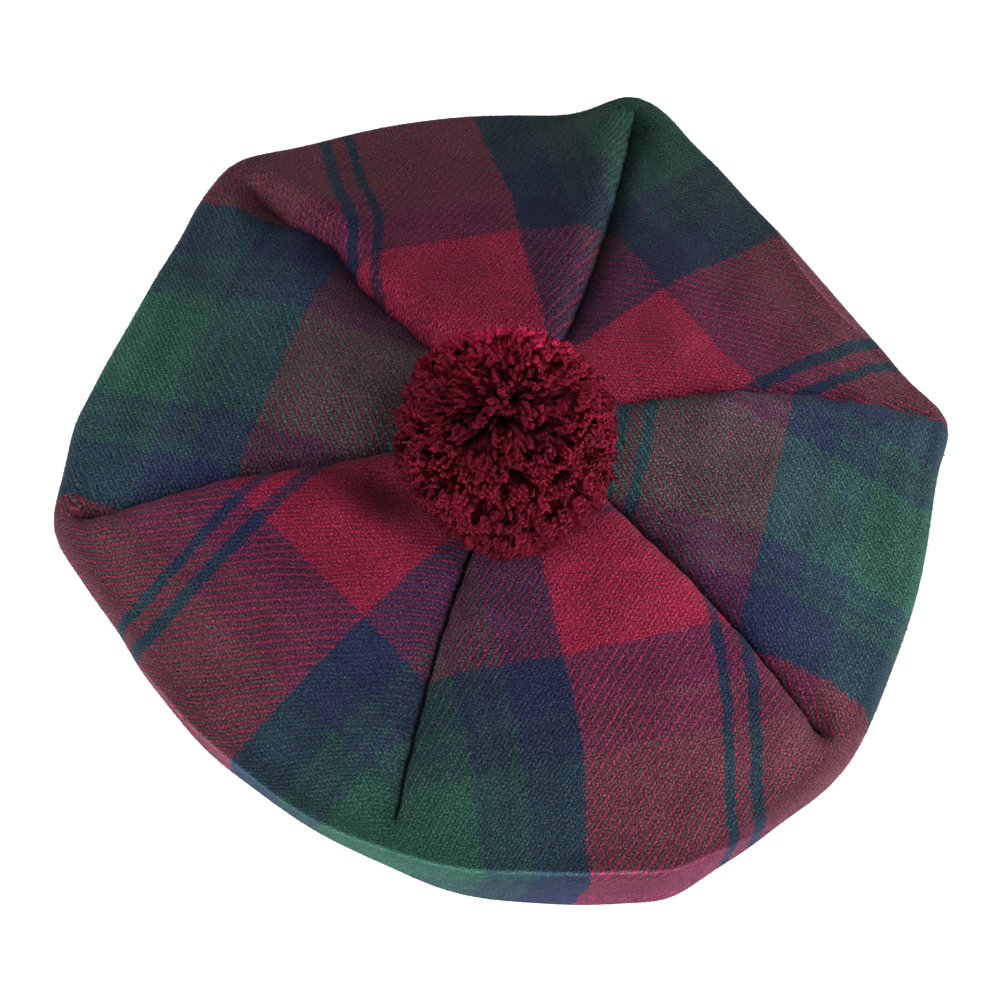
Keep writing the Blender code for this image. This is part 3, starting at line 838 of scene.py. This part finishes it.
# ---- materials ----
class Nodes:
    """Short names for building a material's nodes."""

    def __init__(self, name):
        self.material = bpy.data.materials.new(name)
        self.material.use_nodes = True
        self.tree = self.material.node_tree
        self.shader = self.tree.nodes["Principled BSDF"]

    def add(self, kind, inputs=(), **settings):
        node = self.tree.nodes.new(kind)
        for key, value in settings.items():
            setattr(node, key, value)
        for key, value in dict(inputs).items():
            self.feed(node.inputs[key], value)
        return node

    def feed(self, socket, value):
        if isinstance(value, bpy.types.NodeSocket):
            self.tree.links.new(value, socket)
        elif isinstance(value, bpy.types.Node):
            self.tree.links.new(value.outputs[0], socket)
        else:
            socket.default_value = value

    def finish(self, looks):
        """Sets the shader's sockets and gives back the material."""
        for name, value in looks.items():
            self.feed(self.shader.inputs[name], value)
        return self.material

    def math(self, operation, *values):
        return self.add("ShaderNodeMath", dict(enumerate(values)), operation=operation).outputs[0]

    def vector(self, operation, *values):
        return self.add("ShaderNodeVectorMath", dict(enumerate(values)), operation=operation).outputs[0]

    def scaled(self, vector, amount):
        return self.add("ShaderNodeVectorMath", {0: vector, 3: amount}, operation="SCALE").outputs[0]

    def product(self, value, *factors):
        for factor in factors:
            value = self.math("MULTIPLY", value, factor)
        return value

    def less(self, value, other):
        return self.math("SUBTRACT", value, other)

    def floor(self, value):
        return self.math("FLOOR", value)

    def noise(self, vector, scale, detail=2.0, roughness=0.5):
        looks = {"Vector": vector, "Scale": scale, "Detail": detail, "Roughness": roughness}
        return self.add("ShaderNodeTexNoise", looks).outputs["Fac"]

    def mottle(self, name, where):
        """One of the cloth's mottles at a place."""
        scale, detail, roughness, *span, clamp = MOTTLES[name]
        return self.span(self.noise(where, scale, detail, roughness), *span, clamp=clamp)

    def jitter(self, value, where, *strays):
        """The place `value`, moved about by smooth noises of the place `where`."""
        for scale, amount in strays:
            noise = self.add("ShaderNodeTexNoise", {"Vector": where, "Scale": scale, "Detail": 1.0})
            moved = self.vector("SUBTRACT", noise.outputs["Color"], (0.5, 0.5, 0.5))
            value = self.vector("ADD", value, self.scaled(moved, amount))
        return value

    def span(self, value, low, high, new_low, new_high, clamp=False):
        """The value, with the range from `low` to `high` moved to a new one."""
        inputs = {0: value, 1: low, 2: high, 3: new_low, 4: new_high}
        return self.add("ShaderNodeMapRange", inputs, clamp=clamp).outputs[0]

    def from_share(self, share, at_none, at_full):
        return self.span(share, 0.0, 1.0, at_none, at_full)

    def arch(self, share):
        """Rises from 0 to 1 and falls back as the share goes from 0 to 1."""
        return self.math("SINE", self.product(share, math.pi))

    def either(self, choice, first, second):
        """A plain number: the first where the choice is 0, the second where it is 1."""
        return self.add("ShaderNodeMix", {0: choice, 2: first, 3: second}, data_type="FLOAT").outputs[0]

    def blend(self, share, first, second, kind="MIX"):
        inputs = {0: share, 6: first, 7: second}
        return self.add("ShaderNodeMix", inputs, data_type="RGBA", blend_type=kind).outputs[2]

    def shaded(self, colour, tone):
        """The colour, as bright as the plain number `tone`."""
        grey = self.add("ShaderNodeCombineColor", {0: tone, 1: tone, 2: tone})
        return self.blend(1.0, colour, grey, "MULTIPLY")

    def mingle(self, share, first, second):
        """Two dyes whose fibres mix: a mean of powers of them, `share` of it the second's."""
        low, high = (MINGLE_POWER,) * 3, (1.0 / MINGLE_POWER,) * 3
        roots = [self.vector("POWER", dye, low) for dye in (first, second)]
        return self.vector("POWER", self.blend(share, *roots), high)

    def mark(self, name):
        return self.add("ShaderNodeAttribute", attribute_name=name).outputs["Fac"]

    def object_place(self):
        return self.add("ShaderNodeTexCoord").outputs["Object"]

    def bump(self, height, strength, distance):
        return self.add("ShaderNodeBump", {"Strength": strength, "Distance": distance, "Height": height})

    def two_tones(self, value, dark, pale, low=0.0, high=1.0):
        """A colour between two, as the value goes from `low` to `high`."""
        node = self.add("ShaderNodeValToRGB", {0: value})
        for stop, position, colour in zip(node.color_ramp.elements, (low, high), (dark, pale)):
            stop.position = position
            stop.color = (*colour, 1.0)
        return node.outputs[0]

    def stripes(self, value, colours):
        """A colour for each stripe of the sett. The place runs from 0, a mirror line, to 1, the next."""
        node = self.add("ShaderNodeValToRGB", {0: value})
        ramp = node.color_ramp
        ramp.interpolation = "CONSTANT"
        edge = 0
        for index, ((_, width), colour) in enumerate(zip(SETT, colours)):
            stop = ramp.elements[0] if index == 0 else ramp.elements.new(edge / SETT_WIDTH)
            stop.color = (*colour, 1.0)
            edge += width
        ramp.elements.remove(ramp.elements[-1])
        return node.outputs[0]


def float_hump(nodes, part, along):
    """A float's height: round across the thread, and dipping under its neighbours at both ends."""
    ends = nodes.span(nodes.arch(along), 0.0, 1.0, FLOAT_DIP, 1.0, clamp=True)
    return nodes.product(nodes.arch(part), ends)


def twill(nodes, spot):
    """A 2/2 twill: how far a place is from the middle of a warp rib, its float's hump and number."""
    split = nodes.add("ShaderNodeSeparateXYZ", {0: spot}).outputs
    places = [nodes.math("DIVIDE", split[axis], spacing)
              for axis, spacing in enumerate((WARP_SPACING, WEFT_SPACING))]
    warp, weft = [nodes.floor(place) for place in places]
    warp_part, weft_part = [nodes.math("FRACT", place) for place in places]
    lag = nodes.math("DIVIDE", nodes.less(warp, weft), 4.0)
    turn = nodes.product(nodes.math("FRACT", lag), 4.0)
    # The warp is on top for two of each four steps, and felting slants the steps into a line.
    slant = nodes.product(nodes.less(warp_part, weft_part), RIB_SLANT)
    away = nodes.math("PINGPONG", nodes.math("ADD", nodes.less(turn, 0.5), slant), 2.0)
    away = nodes.math("ADD", away, nodes.mottle("fray", spot))
    warp_shows = nodes.math("LESS_THAN", away, RIB_EDGE)
    # A float passes over two threads, and its ends dip under the next ones.
    warp_along = nodes.product(nodes.less(nodes.math("ADD", weft_part, 1.0), turn), 0.5)
    weft_along = nodes.product(nodes.less(nodes.math("ADD", warp_part, turn), 2.0), 0.5)
    warp_hump = float_hump(nodes, warp_part, warp_along)
    weft_hump = float_hump(nodes, weft_part, weft_along)
    hump = nodes.either(warp_shows, weft_hump, warp_hump)
    thread = nodes.either(warp_shows, weft, warp)
    number = nodes.add("ShaderNodeCombineXYZ", {0: thread, 1: nodes.floor(lag), 2: warp_shows})
    return away, hump, number


def sett_share(nodes, across, spacing):
    """Where the thread at a place lies in the sett, from 0 at one mirror line to 1 at the next."""
    half = SETT_WIDTH * SETT_UNIT
    thread = nodes.floor(nodes.math("DIVIDE", across, spacing))
    middle = nodes.math("MULTIPLY_ADD", thread, spacing, 0.5 * spacing)
    return nodes.math("DIVIDE", nodes.math("PINGPONG", middle, half), half)


def thread_dye(nodes, across, stray, spacing):
    """The dye of the thread at a place across the stripes.

    The crimson's edges are firm, and those of the other colours stray as far as the place `stray`.
    """
    cool = [DYES["navy" if dye == "crimson" else dye] for dye, _ in SETT]
    red = [(float(dye == "crimson"),) * 3 for dye, _ in SETT]
    cool = nodes.stripes(sett_share(nodes, stray, spacing), cool)
    red = nodes.stripes(sett_share(nodes, across, spacing), red)
    # Painted light and shade on each panel's green and navy.
    cool = nodes.shaded(cool, nodes.mark("shade"))
    return nodes.blend(red, cool, (*DYES["crimson"], 1.0))


def tartan():
    """Felted twill: warp and weft each have their own stripes, and each float its own hump and tone."""
    nodes = Nodes("tartan_twill")
    weave = nodes.add("ShaderNodeUVMap", uv_map="weave").outputs[0]
    spot = nodes.jitter(weave, weave, *SPOT_STRAY)
    away, hump, number = twill(nodes, spot)

    # Fibres stray over the edges of the stripes, furthest between green and navy.
    firm = nodes.jitter(spot, weave, *FIRM_STRAY)
    loose = nodes.jitter(firm, weave, *LOOSE_STRAY)
    firm, loose = [nodes.add("ShaderNodeSeparateXYZ", {0: where}).outputs for where in (firm, loose)]
    warp_dye = thread_dye(nodes, firm[0], loose[0], WARP_SPACING)
    weft_dye = thread_dye(nodes, firm[1], loose[1], WEFT_SPACING)

    # Felting mixes the ribs' dyes, in some places more than in others.
    share = nodes.span(away, RIB_EDGE - RIB_SOFT, RIB_EDGE + RIB_SOFT, *RIB_SHARES, clamp=True)
    felt = nodes.mottle("felt", weave)
    felted = nodes.mingle(nodes.either(felt, share, FELTED_SHARE), weft_dye, warp_dye)
    edge = nodes.math("ABSOLUTE", nodes.less(away, RIB_EDGE))
    edge = nodes.span(edge, 0.0, RIB_LINE, 1.0, 0.0, clamp=True)
    edge = nodes.product(edge, nodes.less(1.0, felt))

    grain = nodes.mottle("grain", weave)
    own = nodes.add("ShaderNodeTexWhiteNoise", {0: number}, noise_dimensions="3D").outputs[0]
    # Mottles and each float's own tone, times painted shade at the feet of floats, on the lines between ribs,
    # along the seams and in the hollows.
    tone = nodes.product(
        nodes.math("MAXIMUM", grain, GRAIN_LEAST), nodes.mottle("speck", weave), nodes.mottle("cloud", weave),
        nodes.from_share(own, *OWN_TONES), nodes.from_share(hump, *HUMP_SHADE_TONES),
        nodes.from_share(edge, *RIB_LINE_SHADE_TONES), nodes.from_share(nodes.mark("painted_shade"), *PAINTED_SHADE_TONES),
    )
    # Painted highlight and sheen along the folds and on the edges of laps, in streaks.
    painted_highlight = nodes.mark("painted_highlight")
    streak = nodes.mottle("streak", nodes.vector("MULTIPLY", weave, STREAK_STRETCH))
    tone = nodes.either(nodes.product(nodes.math("MINIMUM", painted_highlight, 1.0), STREAK_SHARE), tone, streak)
    colour = nodes.shaded(felted, nodes.product(tone, nodes.from_share(painted_highlight, 1.0, HIGHLIGHT_GAIN)))
    # Paleness of loose fibres everywhere, plus painted sheen where the highlight mark is.
    pale = nodes.math("MULTIPLY_ADD", painted_highlight, HIGHLIGHT_VEIL_SHARE, nodes.mottle("fuzz", weave))
    colour = nodes.vector("ADD", colour, nodes.scaled(FUZZ_AND_HIGHLIGHT_VEIL, pale))

    height = nodes.math("MULTIPLY_ADD", edge, EDGE_BUMP, nodes.product(hump, HUMP_BUMP))
    height = nodes.math("MULTIPLY_ADD", grain, GRAIN_BUMP, height)
    height = nodes.math("MULTIPLY_ADD", nodes.noise(weave, *FINE_GRAIN), FINE_BUMP, height)
    return nodes.finish({
        "Base Color": colour, "Normal": nodes.bump(height, 1.0, MM),
        "Roughness": 0.95, "Specular IOR Level": 0.05,
        "Sheen Weight": 0.05, "Sheen Roughness": 0.4, "Sheen Tint": (0.9, 0.92, 0.95, 1.0),
    })


def yarn():
    """Painted shade at the roots, fading to none towards the cut ends of the yarn."""
    nodes = Nodes("pompom_yarn")
    where = nodes.object_place()
    centre = tuple((pompom_centre() + OFFSET) * MM)
    # Painted shade deep in the ball, by distance from its middle.
    depth = nodes.add("ShaderNodeVectorMath", {0: where, 1: centre}, operation="DISTANCE").outputs["Value"]
    depth = nodes.span(depth, *YARN_SHADE_DEPTHS, YARN_DEPTH_SHADE, 1.0, clamp=True)
    tone = nodes.two_tones(nodes.noise(where, *YARN_MOTTLE), *YARN_DYES, *YARN_DYE_RANGE)
    # Times each end's tone, with its painted light and shade by direction.
    dark = nodes.product(nodes.math("POWER", depth, YARN_SHADE_POWER), nodes.mark("tone"))
    return nodes.finish({
        "Base Color": nodes.shaded(tone, dark),
        "Normal": nodes.bump(nodes.noise(where, *YARN_FIBRE), 0.9, 0.5 * MM),
        "Roughness": 0.9, "Specular IOR Level": 0.1,
        "Sheen Weight": 0.04, "Sheen Roughness": 0.4, "Sheen Tint": (1.0, 0.45, 0.5, 1.0),
    })


def band_wool():
    nodes = Nodes("band_wool")
    grain = nodes.noise(nodes.object_place(), *BAND_GRAIN)
    return nodes.finish({
        "Base Color": nodes.two_tones(grain, *BAND_DYES),
        "Normal": nodes.bump(grain, 0.6, 0.3 * MM), "Roughness": 0.9, "Sheen Weight": 0.2,
    })


# ---- pompom ----
def panels_under(flat):
    """For places in plan, the panel that each lies over and how far across it."""
    turn = direction(flat)
    panel = np.zeros(turn.shape, dtype=int)
    across = np.zeros(turn.shape)
    for index in range(len(PANELS)):
        here, there = seams_of(index)
        width = (there.angle - here.angle) % 360.0
        past = (turn - here.angle) % 360.0
        inside = past < width
        panel[inside] = index
        across[inside] = past[inside] / width
    return panel, across


def crown_height(flat):
    """Height of the crown's outer face over places in plan, measured from the band's axis."""
    share = np.zeros(len(flat))
    height = np.zeros(len(flat))
    # The apex leans by an amount that depends on the share, which settles in a few rounds.
    for _ in range(4):
        straight = flat - APEX_LEAN * ((1.0 - share) ** 2)[:, None]
        panel, across = panels_under(straight)
        for index in range(len(PANELS)):
            inside = panel == index
            if not inside.any():
                continue
            rim = rounded_rim(index, across[inside])
            radius = np.linalg.norm(rim, axis=-1)
            crease = between_panels(index, across[inside], "crease")
            edge, _ = roll_section(radius, crease, ROLL_START)
            hole = APEX_HOLE / edge
            reach = np.linalg.norm(straight[inside], axis=-1) / edge
            share[inside] = np.clip((reach - hole) / (1.0 - hole), 0.0, 1.0)
            distance, level = section_point("top", share[inside], radius, crease)
            height[inside] = level + relief(index, across[inside], share[inside], distance * PANEL_ANGLE)
    return height


def pompom_centre():
    return np.array((*APEX_LEAN, crown_height(APEX_LEAN[None])[0])) + POMPOM_PLACE


def room_for_yarn(centre, ways):
    """How far each way runs from the centre before it meets the crown, found by halving."""
    low = np.zeros(len(ways))
    high = np.full(len(ways), POMPOM_RADIUS * 1.2)
    for _ in range(18):
        middle = 0.5 * (low + high)
        spots = centre + ways * middle[:, None]
        clear = spots[:, 2] - POMPOM_SEAT > crown_height(spots[:, :2])
        low = np.where(clear, middle, low)
        high = np.where(clear, high, middle)
    return low


def keep_above_crown(points):
    """Lifts the points that would dip into the crown's cloth."""
    flat = points.reshape(-1, 3).copy()
    flat[:, 2] = np.maximum(flat[:, 2], crown_height(flat[:, :2]) + YARN_THICK)
    return flat.reshape(points.shape)


def scattered_ways(count):
    """Directions spread evenly over a ball by the golden angle, each a little off its place."""
    order = np.arange(count) + 0.5
    z = 1.0 - 2.0 * order / count
    turn = order * math.pi * (3.0 - math.sqrt(5.0))
    flat = np.sqrt(1.0 - z * z)
    ways = np.stack((flat * np.cos(turn), flat * np.sin(turn), z), axis=-1)
    return unit(ways + rng.normal(0.0, YARN_SCATTER, ways.shape))


def sideways(push, ways):
    """The part of each push that is at right angles to its way."""
    return push - ways * np.sum(push * ways, axis=1, keepdims=True)


def clump_lean(ways):
    """A smooth field that leans neighbouring yarn ends the same way."""
    lean = np.zeros(ways.shape)
    for fineness, amount in LEAN_WAVES:
        wave = rng.normal(0.0, fineness, (3, 3))
        shift = rng.uniform(0.0, TURN, 3)
        lean += amount * np.sin(ways @ wave + shift)
    return sideways(lean, ways)


def tuft_leans(ways):
    """Each end's lean in to its tuft, how much longer the tuft is than others, and its tone."""
    middles = scattered_ways(TUFTS)
    tips = middles * POMPOM_RADIUS + clump_lean(middles) * LEAN + rng.normal(0.0, TUFT_LEAN, middles.shape)
    nearest = np.argmax(ways @ middles.T + rng.normal(0.0, TUFT_EDGE, (len(ways), TUFTS)), axis=1)
    pull = TUFT_PULL * rng.uniform(*TUFT_PULLS, len(ways))[:, None]
    lean = (middles[nearest] - ways) * POMPOM_RADIUS * pull
    lean = sideways(lean + tips[nearest] - middles[nearest] * POMPOM_RADIUS, ways)
    longer = rng.normal(0.0, YARN_LONGER[1], TUFTS)[nearest]
    return lean, longer, rng.uniform(*YARN_TONES, TUFTS)[nearest]


def parting_lean(ways):
    """Ends near the parting splay away from it."""
    middle = unit(PARTING)
    along = ways @ middle
    away = ways - along[:, None] * middle
    away = away / (np.linalg.norm(away, axis=1, keepdims=True) + 1e-6)
    angle = np.arccos(np.clip(along, -1.0, 1.0))[:, None]
    amount = (angle / PARTING_SPREAD) * np.exp(1.0 - angle / PARTING_SPREAD)
    return PARTING_SPLAY * amount * sideways(away, ways)


def lobes(ways, name):
    total = np.zeros(len(ways))
    for lobe in LOBES:
        way = np.array((lobe.x, lobe.y, lobe.z))
        total += getattr(lobe, name) * np.exp((ways @ way / np.linalg.norm(way) - 1.0) / lobe.spread)
    return total


def tubes(paths, long_side, short_side, size):
    """Closed tubes along paths of shape (tubes, rings, 3), with oval rings."""
    count, rings = paths.shape[:2]
    angle = around(YARN_SIDES)[:, None]
    size = size[..., None, None]
    skin = (paths[:, :, None] + long_side[:, :, None] * np.cos(angle) * size
            + short_side[:, :, None] * np.sin(angle) * (size * YARN_THIN))
    last = (rings - 1) * YARN_SIDES
    end_cap, root_cap = np.array(((0, 1, 2, 3), (3, 4, 5, 0))) + last, ((3, 2, 1, 0), (0, 5, 4, 3))
    faces = np.concatenate((ring_faces(rings, YARN_SIDES)[:, OTHER_WAY], end_cap, root_cap))
    return skin.reshape(-1, 3), repeated(faces, count, rings * YARN_SIDES)


def build_pompom(material):
    centre = pompom_centre()
    ways = scattered_ways(YARN_ENDS)
    ways = ways[room_for_yarn(centre, ways) > YARN_ROOT + YARN_LEAST]
    count = len(ways)
    lean, longer, tuft_tone = tuft_leans(ways)
    lean = lean + parting_lean(ways) + rng.normal(0.0, STRAY, ways.shape)
    reach = POMPOM_RADIUS + YARN_PROUD + lobes(ways, "push") + longer + rng.normal(0.0, YARN_LONGER[0], count)
    share = YARN_SHARES[None, :, None]
    radii = mix(YARN_ROOT, reach[:, None], YARN_SHARES)
    paths = ways[:, None] * radii[..., None] + lean[:, None] * share ** LEAN_POWER
    curl = ((share - CURL_FROM) / (1.0 - CURL_FROM)).clip(0.0, 1.0) ** CURL_POWER
    paths = paths + rng.normal(0.0, CURL, (count, 1, 3)) * curl
    # An end that would run into the crown is shortened, and what still dips in is lifted out.
    length = np.linalg.norm(paths[:, -1], axis=1)
    tip_room = np.minimum(room_for_yarn(centre, paths[:, -1] / length[:, None]), reach)
    scale = np.minimum(1.0, tip_room / length)
    paths = keep_above_crown(centre + paths * mix(1.0, scale[:, None, None], share))
    first, second = (side[:, None] for side in two_sides(ways))
    twist = (radii / PLY_TWIST * TURN + rng.uniform(0.0, TURN, count)[:, None])[..., None]
    long_side = first * np.cos(twist) + second * np.sin(twist)
    short_side = -first * np.sin(twist) + second * np.cos(twist)
    size = YARN_THICK * (1.0 + rng.normal(0.0, YARN_UNEVEN, count))[:, None] * YARN_SIZES
    # Random tones of ends and tufts, times painted light and shade by direction from the lobes.
    tones_and_painted_light = rng.uniform(*YARN_TONES, count) * tuft_tone * (1.0 + lobes(ways, "tone"))
    half = count // 2
    for index, part in enumerate((slice(0, half), slice(half, count))):
        points, faces = tubes(paths[part], long_side[part], short_side[part], size[part])
        new_piece(f"pompom_yarn_{index + 1}", points, faces, material, "pompom",
                  marks={"tone": np.repeat(tones_and_painted_light[part], len(YARN_SHARES) * YARN_SIDES)})
    build_core(centre, material)
    build_hairs(paths, ways, centre, material)


def build_core(centre, material):
    """The dense middle of the ball, which keeps light from passing through."""
    tilt = np.linspace(0.0, math.pi, CORE_ROWS)[:, None]
    turn = around(CORE_COLUMNS)[None, :]
    level = np.broadcast_to(np.cos(tilt), (CORE_ROWS, CORE_COLUMNS))
    ways = np.stack((np.sin(tilt) * np.cos(turn), np.sin(tilt) * np.sin(turn), level), axis=-1).reshape(-1, 3)
    reach = np.minimum(CORE_RADIUS, room_for_yarn(centre, ways) - CORE_GAP)
    points = centre + ways * reach[:, None]
    # The first and the last ring lie on one point each, so their faces are triangles.
    quads = ring_faces(CORE_ROWS, CORE_COLUMNS)
    top, bottom = quads[:CORE_COLUMNS, (0, 1, 2)], quads[-CORE_COLUMNS:, (1, 3, 0)]
    top[:, 0] = 0
    bottom[:, 0] = len(points) - CORE_COLUMNS
    faces = np.concatenate((triangles(quads[CORE_COLUMNS:-CORE_COLUMNS]), top, bottom))
    used, faces = np.unique(faces, return_inverse=True)
    new_piece("pompom_core", points[used], faces.reshape(-1, 3), material, "pompom",
              marks={"tone": np.ones(len(used))})


def build_hairs(paths, ways, centre, material):
    """Fine fibres that stand off the yarn ends, each a thin three-sided spike with one bend."""
    picks = rng.integers(0, len(paths), HAIRS)
    start = paths[picks, -2]
    stray = unit(rng.normal(0.0, 1.0, (HAIRS, 3)) + ways[picks] * HAIR_OUTWARD)
    length = rng.uniform(*HAIR_LENGTHS, HAIRS)[:, None]
    bend = rng.normal(0.0, HAIR_BEND, (HAIRS, 3)) * length
    knee, tip = start + stray * length * HAIR_KNEE, start + stray * length + bend
    spine = np.stack((start, knee, tip), axis=1)
    spine = keep_above_crown(spine)
    far = np.linalg.norm(spine - centre, axis=2, keepdims=True)
    spine = centre + (spine - centre) * np.minimum(1.0, (POMPOM_RADIUS + HAIR_REACH) / far)
    ring = triangle_round(stray) * HAIR_THICK
    points = np.concatenate((spine[:, :1] + ring, spine[:, 1:2] + ring * HAIR_THINNER, spine[:, 2:]), axis=1)
    ends = ((2, 1, 0), (3, 4, 6), (4, 5, 6), (5, 3, 6))
    faces = np.concatenate((ends, triangles(ring_faces(2, 3)[:, OTHER_WAY])))
    new_piece("pompom_fibres", points.reshape(-1, 3), repeated(faces, HAIRS, 7), material,
              "pompom", marks={"tone": np.repeat(rng.uniform(*HAIR_TONES, HAIRS), 7)})


# ---- headband ----
BAND_SIDES = 180
# Half of the band's rounded edge: how far in from its face and from its end each point lies.
BAND_EDGE = ((0.5, 0.0), (0.1, 0.3), (0.0, 0.9))


def build_band(material):
    inner, outer = BAND_RADIUS, BAND_RADIUS + BAND_THICKNESS
    outside = [(outer - inset, end) for inset, end in BAND_EDGE]
    outside += [(outer - inset, BAND_HEIGHT - end) for inset, end in BAND_EDGE[::-1]]
    inside = [(inner + outer - radius, height) for radius, height in outside[::-1]]
    profile = np.array([inside[-1]] + outside + inside[:-1])
    turn = around(BAND_SIDES)[:, None]
    height = np.broadcast_to(profile[:, 1], (BAND_SIDES, len(profile)))
    points = np.stack((np.cos(turn) * profile[:, 0], np.sin(turn) * profile[:, 0], height), axis=-1)
    faces = ring_faces(BAND_SIDES, len(profile), closed=True)
    new_piece("headband_cloth", points.reshape(-1, 3), faces, material, "headband")


# ---- stage ----
CAMERA_ELEVATION = 62.0
CAMERA_DISTANCE = 1.5
CAMERA_TARGET = (-0.0003, -0.0100, 0.025)
PHOTO_PIXEL = 0.000315  # metres in the photo's plane
PHOTO_WIDTH = 1000
SENSOR = 36.0
WHITE = (1.0, 1.0, 1.0, 1.0)
WORLD_LIGHT = 0.06
FLOOR_SIZE = 6.0
FLOOR_GAP = 0.0002  # keeps the floor just clear of the cloth
FLOOR_GLOW = 0.80
LIGHT_TARGET = (0.0, 0.0, 0.03)
# Lights: name, place and size in metres, and power in watts.
LIGHTS = (
    ("front_key", (0.30, -1.35, 0.65), 0.9, 15.5),
    ("top", (0.0, 0.0, 1.60), 1.0, 4.8),
    ("right_fill", (1.30, -0.20, 0.80), 0.9, 11.0),
    ("right_low", (1.45, -0.20, 0.35), 0.7, 19.0),
    ("left_fill", (-1.30, -0.30, 0.80), 0.9, 3.0),
    ("left_low", (-1.45, -0.20, 0.35), 0.7, 16.0),
)


def build_stage():
    bpy.ops.mesh.primitive_plane_add(size=FLOOR_SIZE, location=(0.0, 0.0, -FLOOR_GAP))
    floor = bpy.context.object
    floor.name = "floor"
    floor.data.materials.append(Nodes("pale_floor").finish({
        "Base Color": (0.97, 0.97, 0.97, 1.0), "Roughness": 0.9,
        "Emission Color": WHITE, "Emission Strength": FLOOR_GLOW,
    }))

    world = bpy.data.worlds.new("soft_studio")
    world.use_nodes = True
    background = world.node_tree.nodes["Background"].inputs
    background[0].default_value = WHITE
    background[1].default_value = WORLD_LIGHT
    bpy.context.scene.world = world

    for name, place, size, power in LIGHTS:
        light = bpy.data.lights.new(name, "AREA")
        light.size = size
        light.energy = power
        add_aimed(name, light, place, LIGHT_TARGET)


def add_aimed(name, data, place, target):
    """A light or camera at a place, turned to its target."""
    item = bpy.data.objects.new(name, data)
    item.location = place
    way = Vector(target) - Vector(place)
    item.rotation_euler = way.to_track_quat("-Z", "Y").to_euler()
    bpy.context.scene.collection.objects.link(item)
    return item


def build_camera():
    data = bpy.data.cameras.new("camera")
    data.sensor_width = SENSOR
    data.lens = SENSOR * CAMERA_DISTANCE / (PHOTO_PIXEL * PHOTO_WIDTH)
    turn = math.radians(CAMERA_ELEVATION)
    back = Vector((0.0, -math.cos(turn), math.sin(turn))) * CAMERA_DISTANCE
    bpy.context.scene.camera = add_aimed("camera", data, Vector(CAMERA_TARGET) + back, CAMERA_TARGET)


def main():
    bpy.context.scene.view_settings.view_transform = "Standard"
    build_camera()
    build_stage()
    cloth = tartan()
    for panel in range(len(PANELS)):
        build_panel(panel, cloth)
    build_band(band_wool())
    build_pompom(yarn())


main()
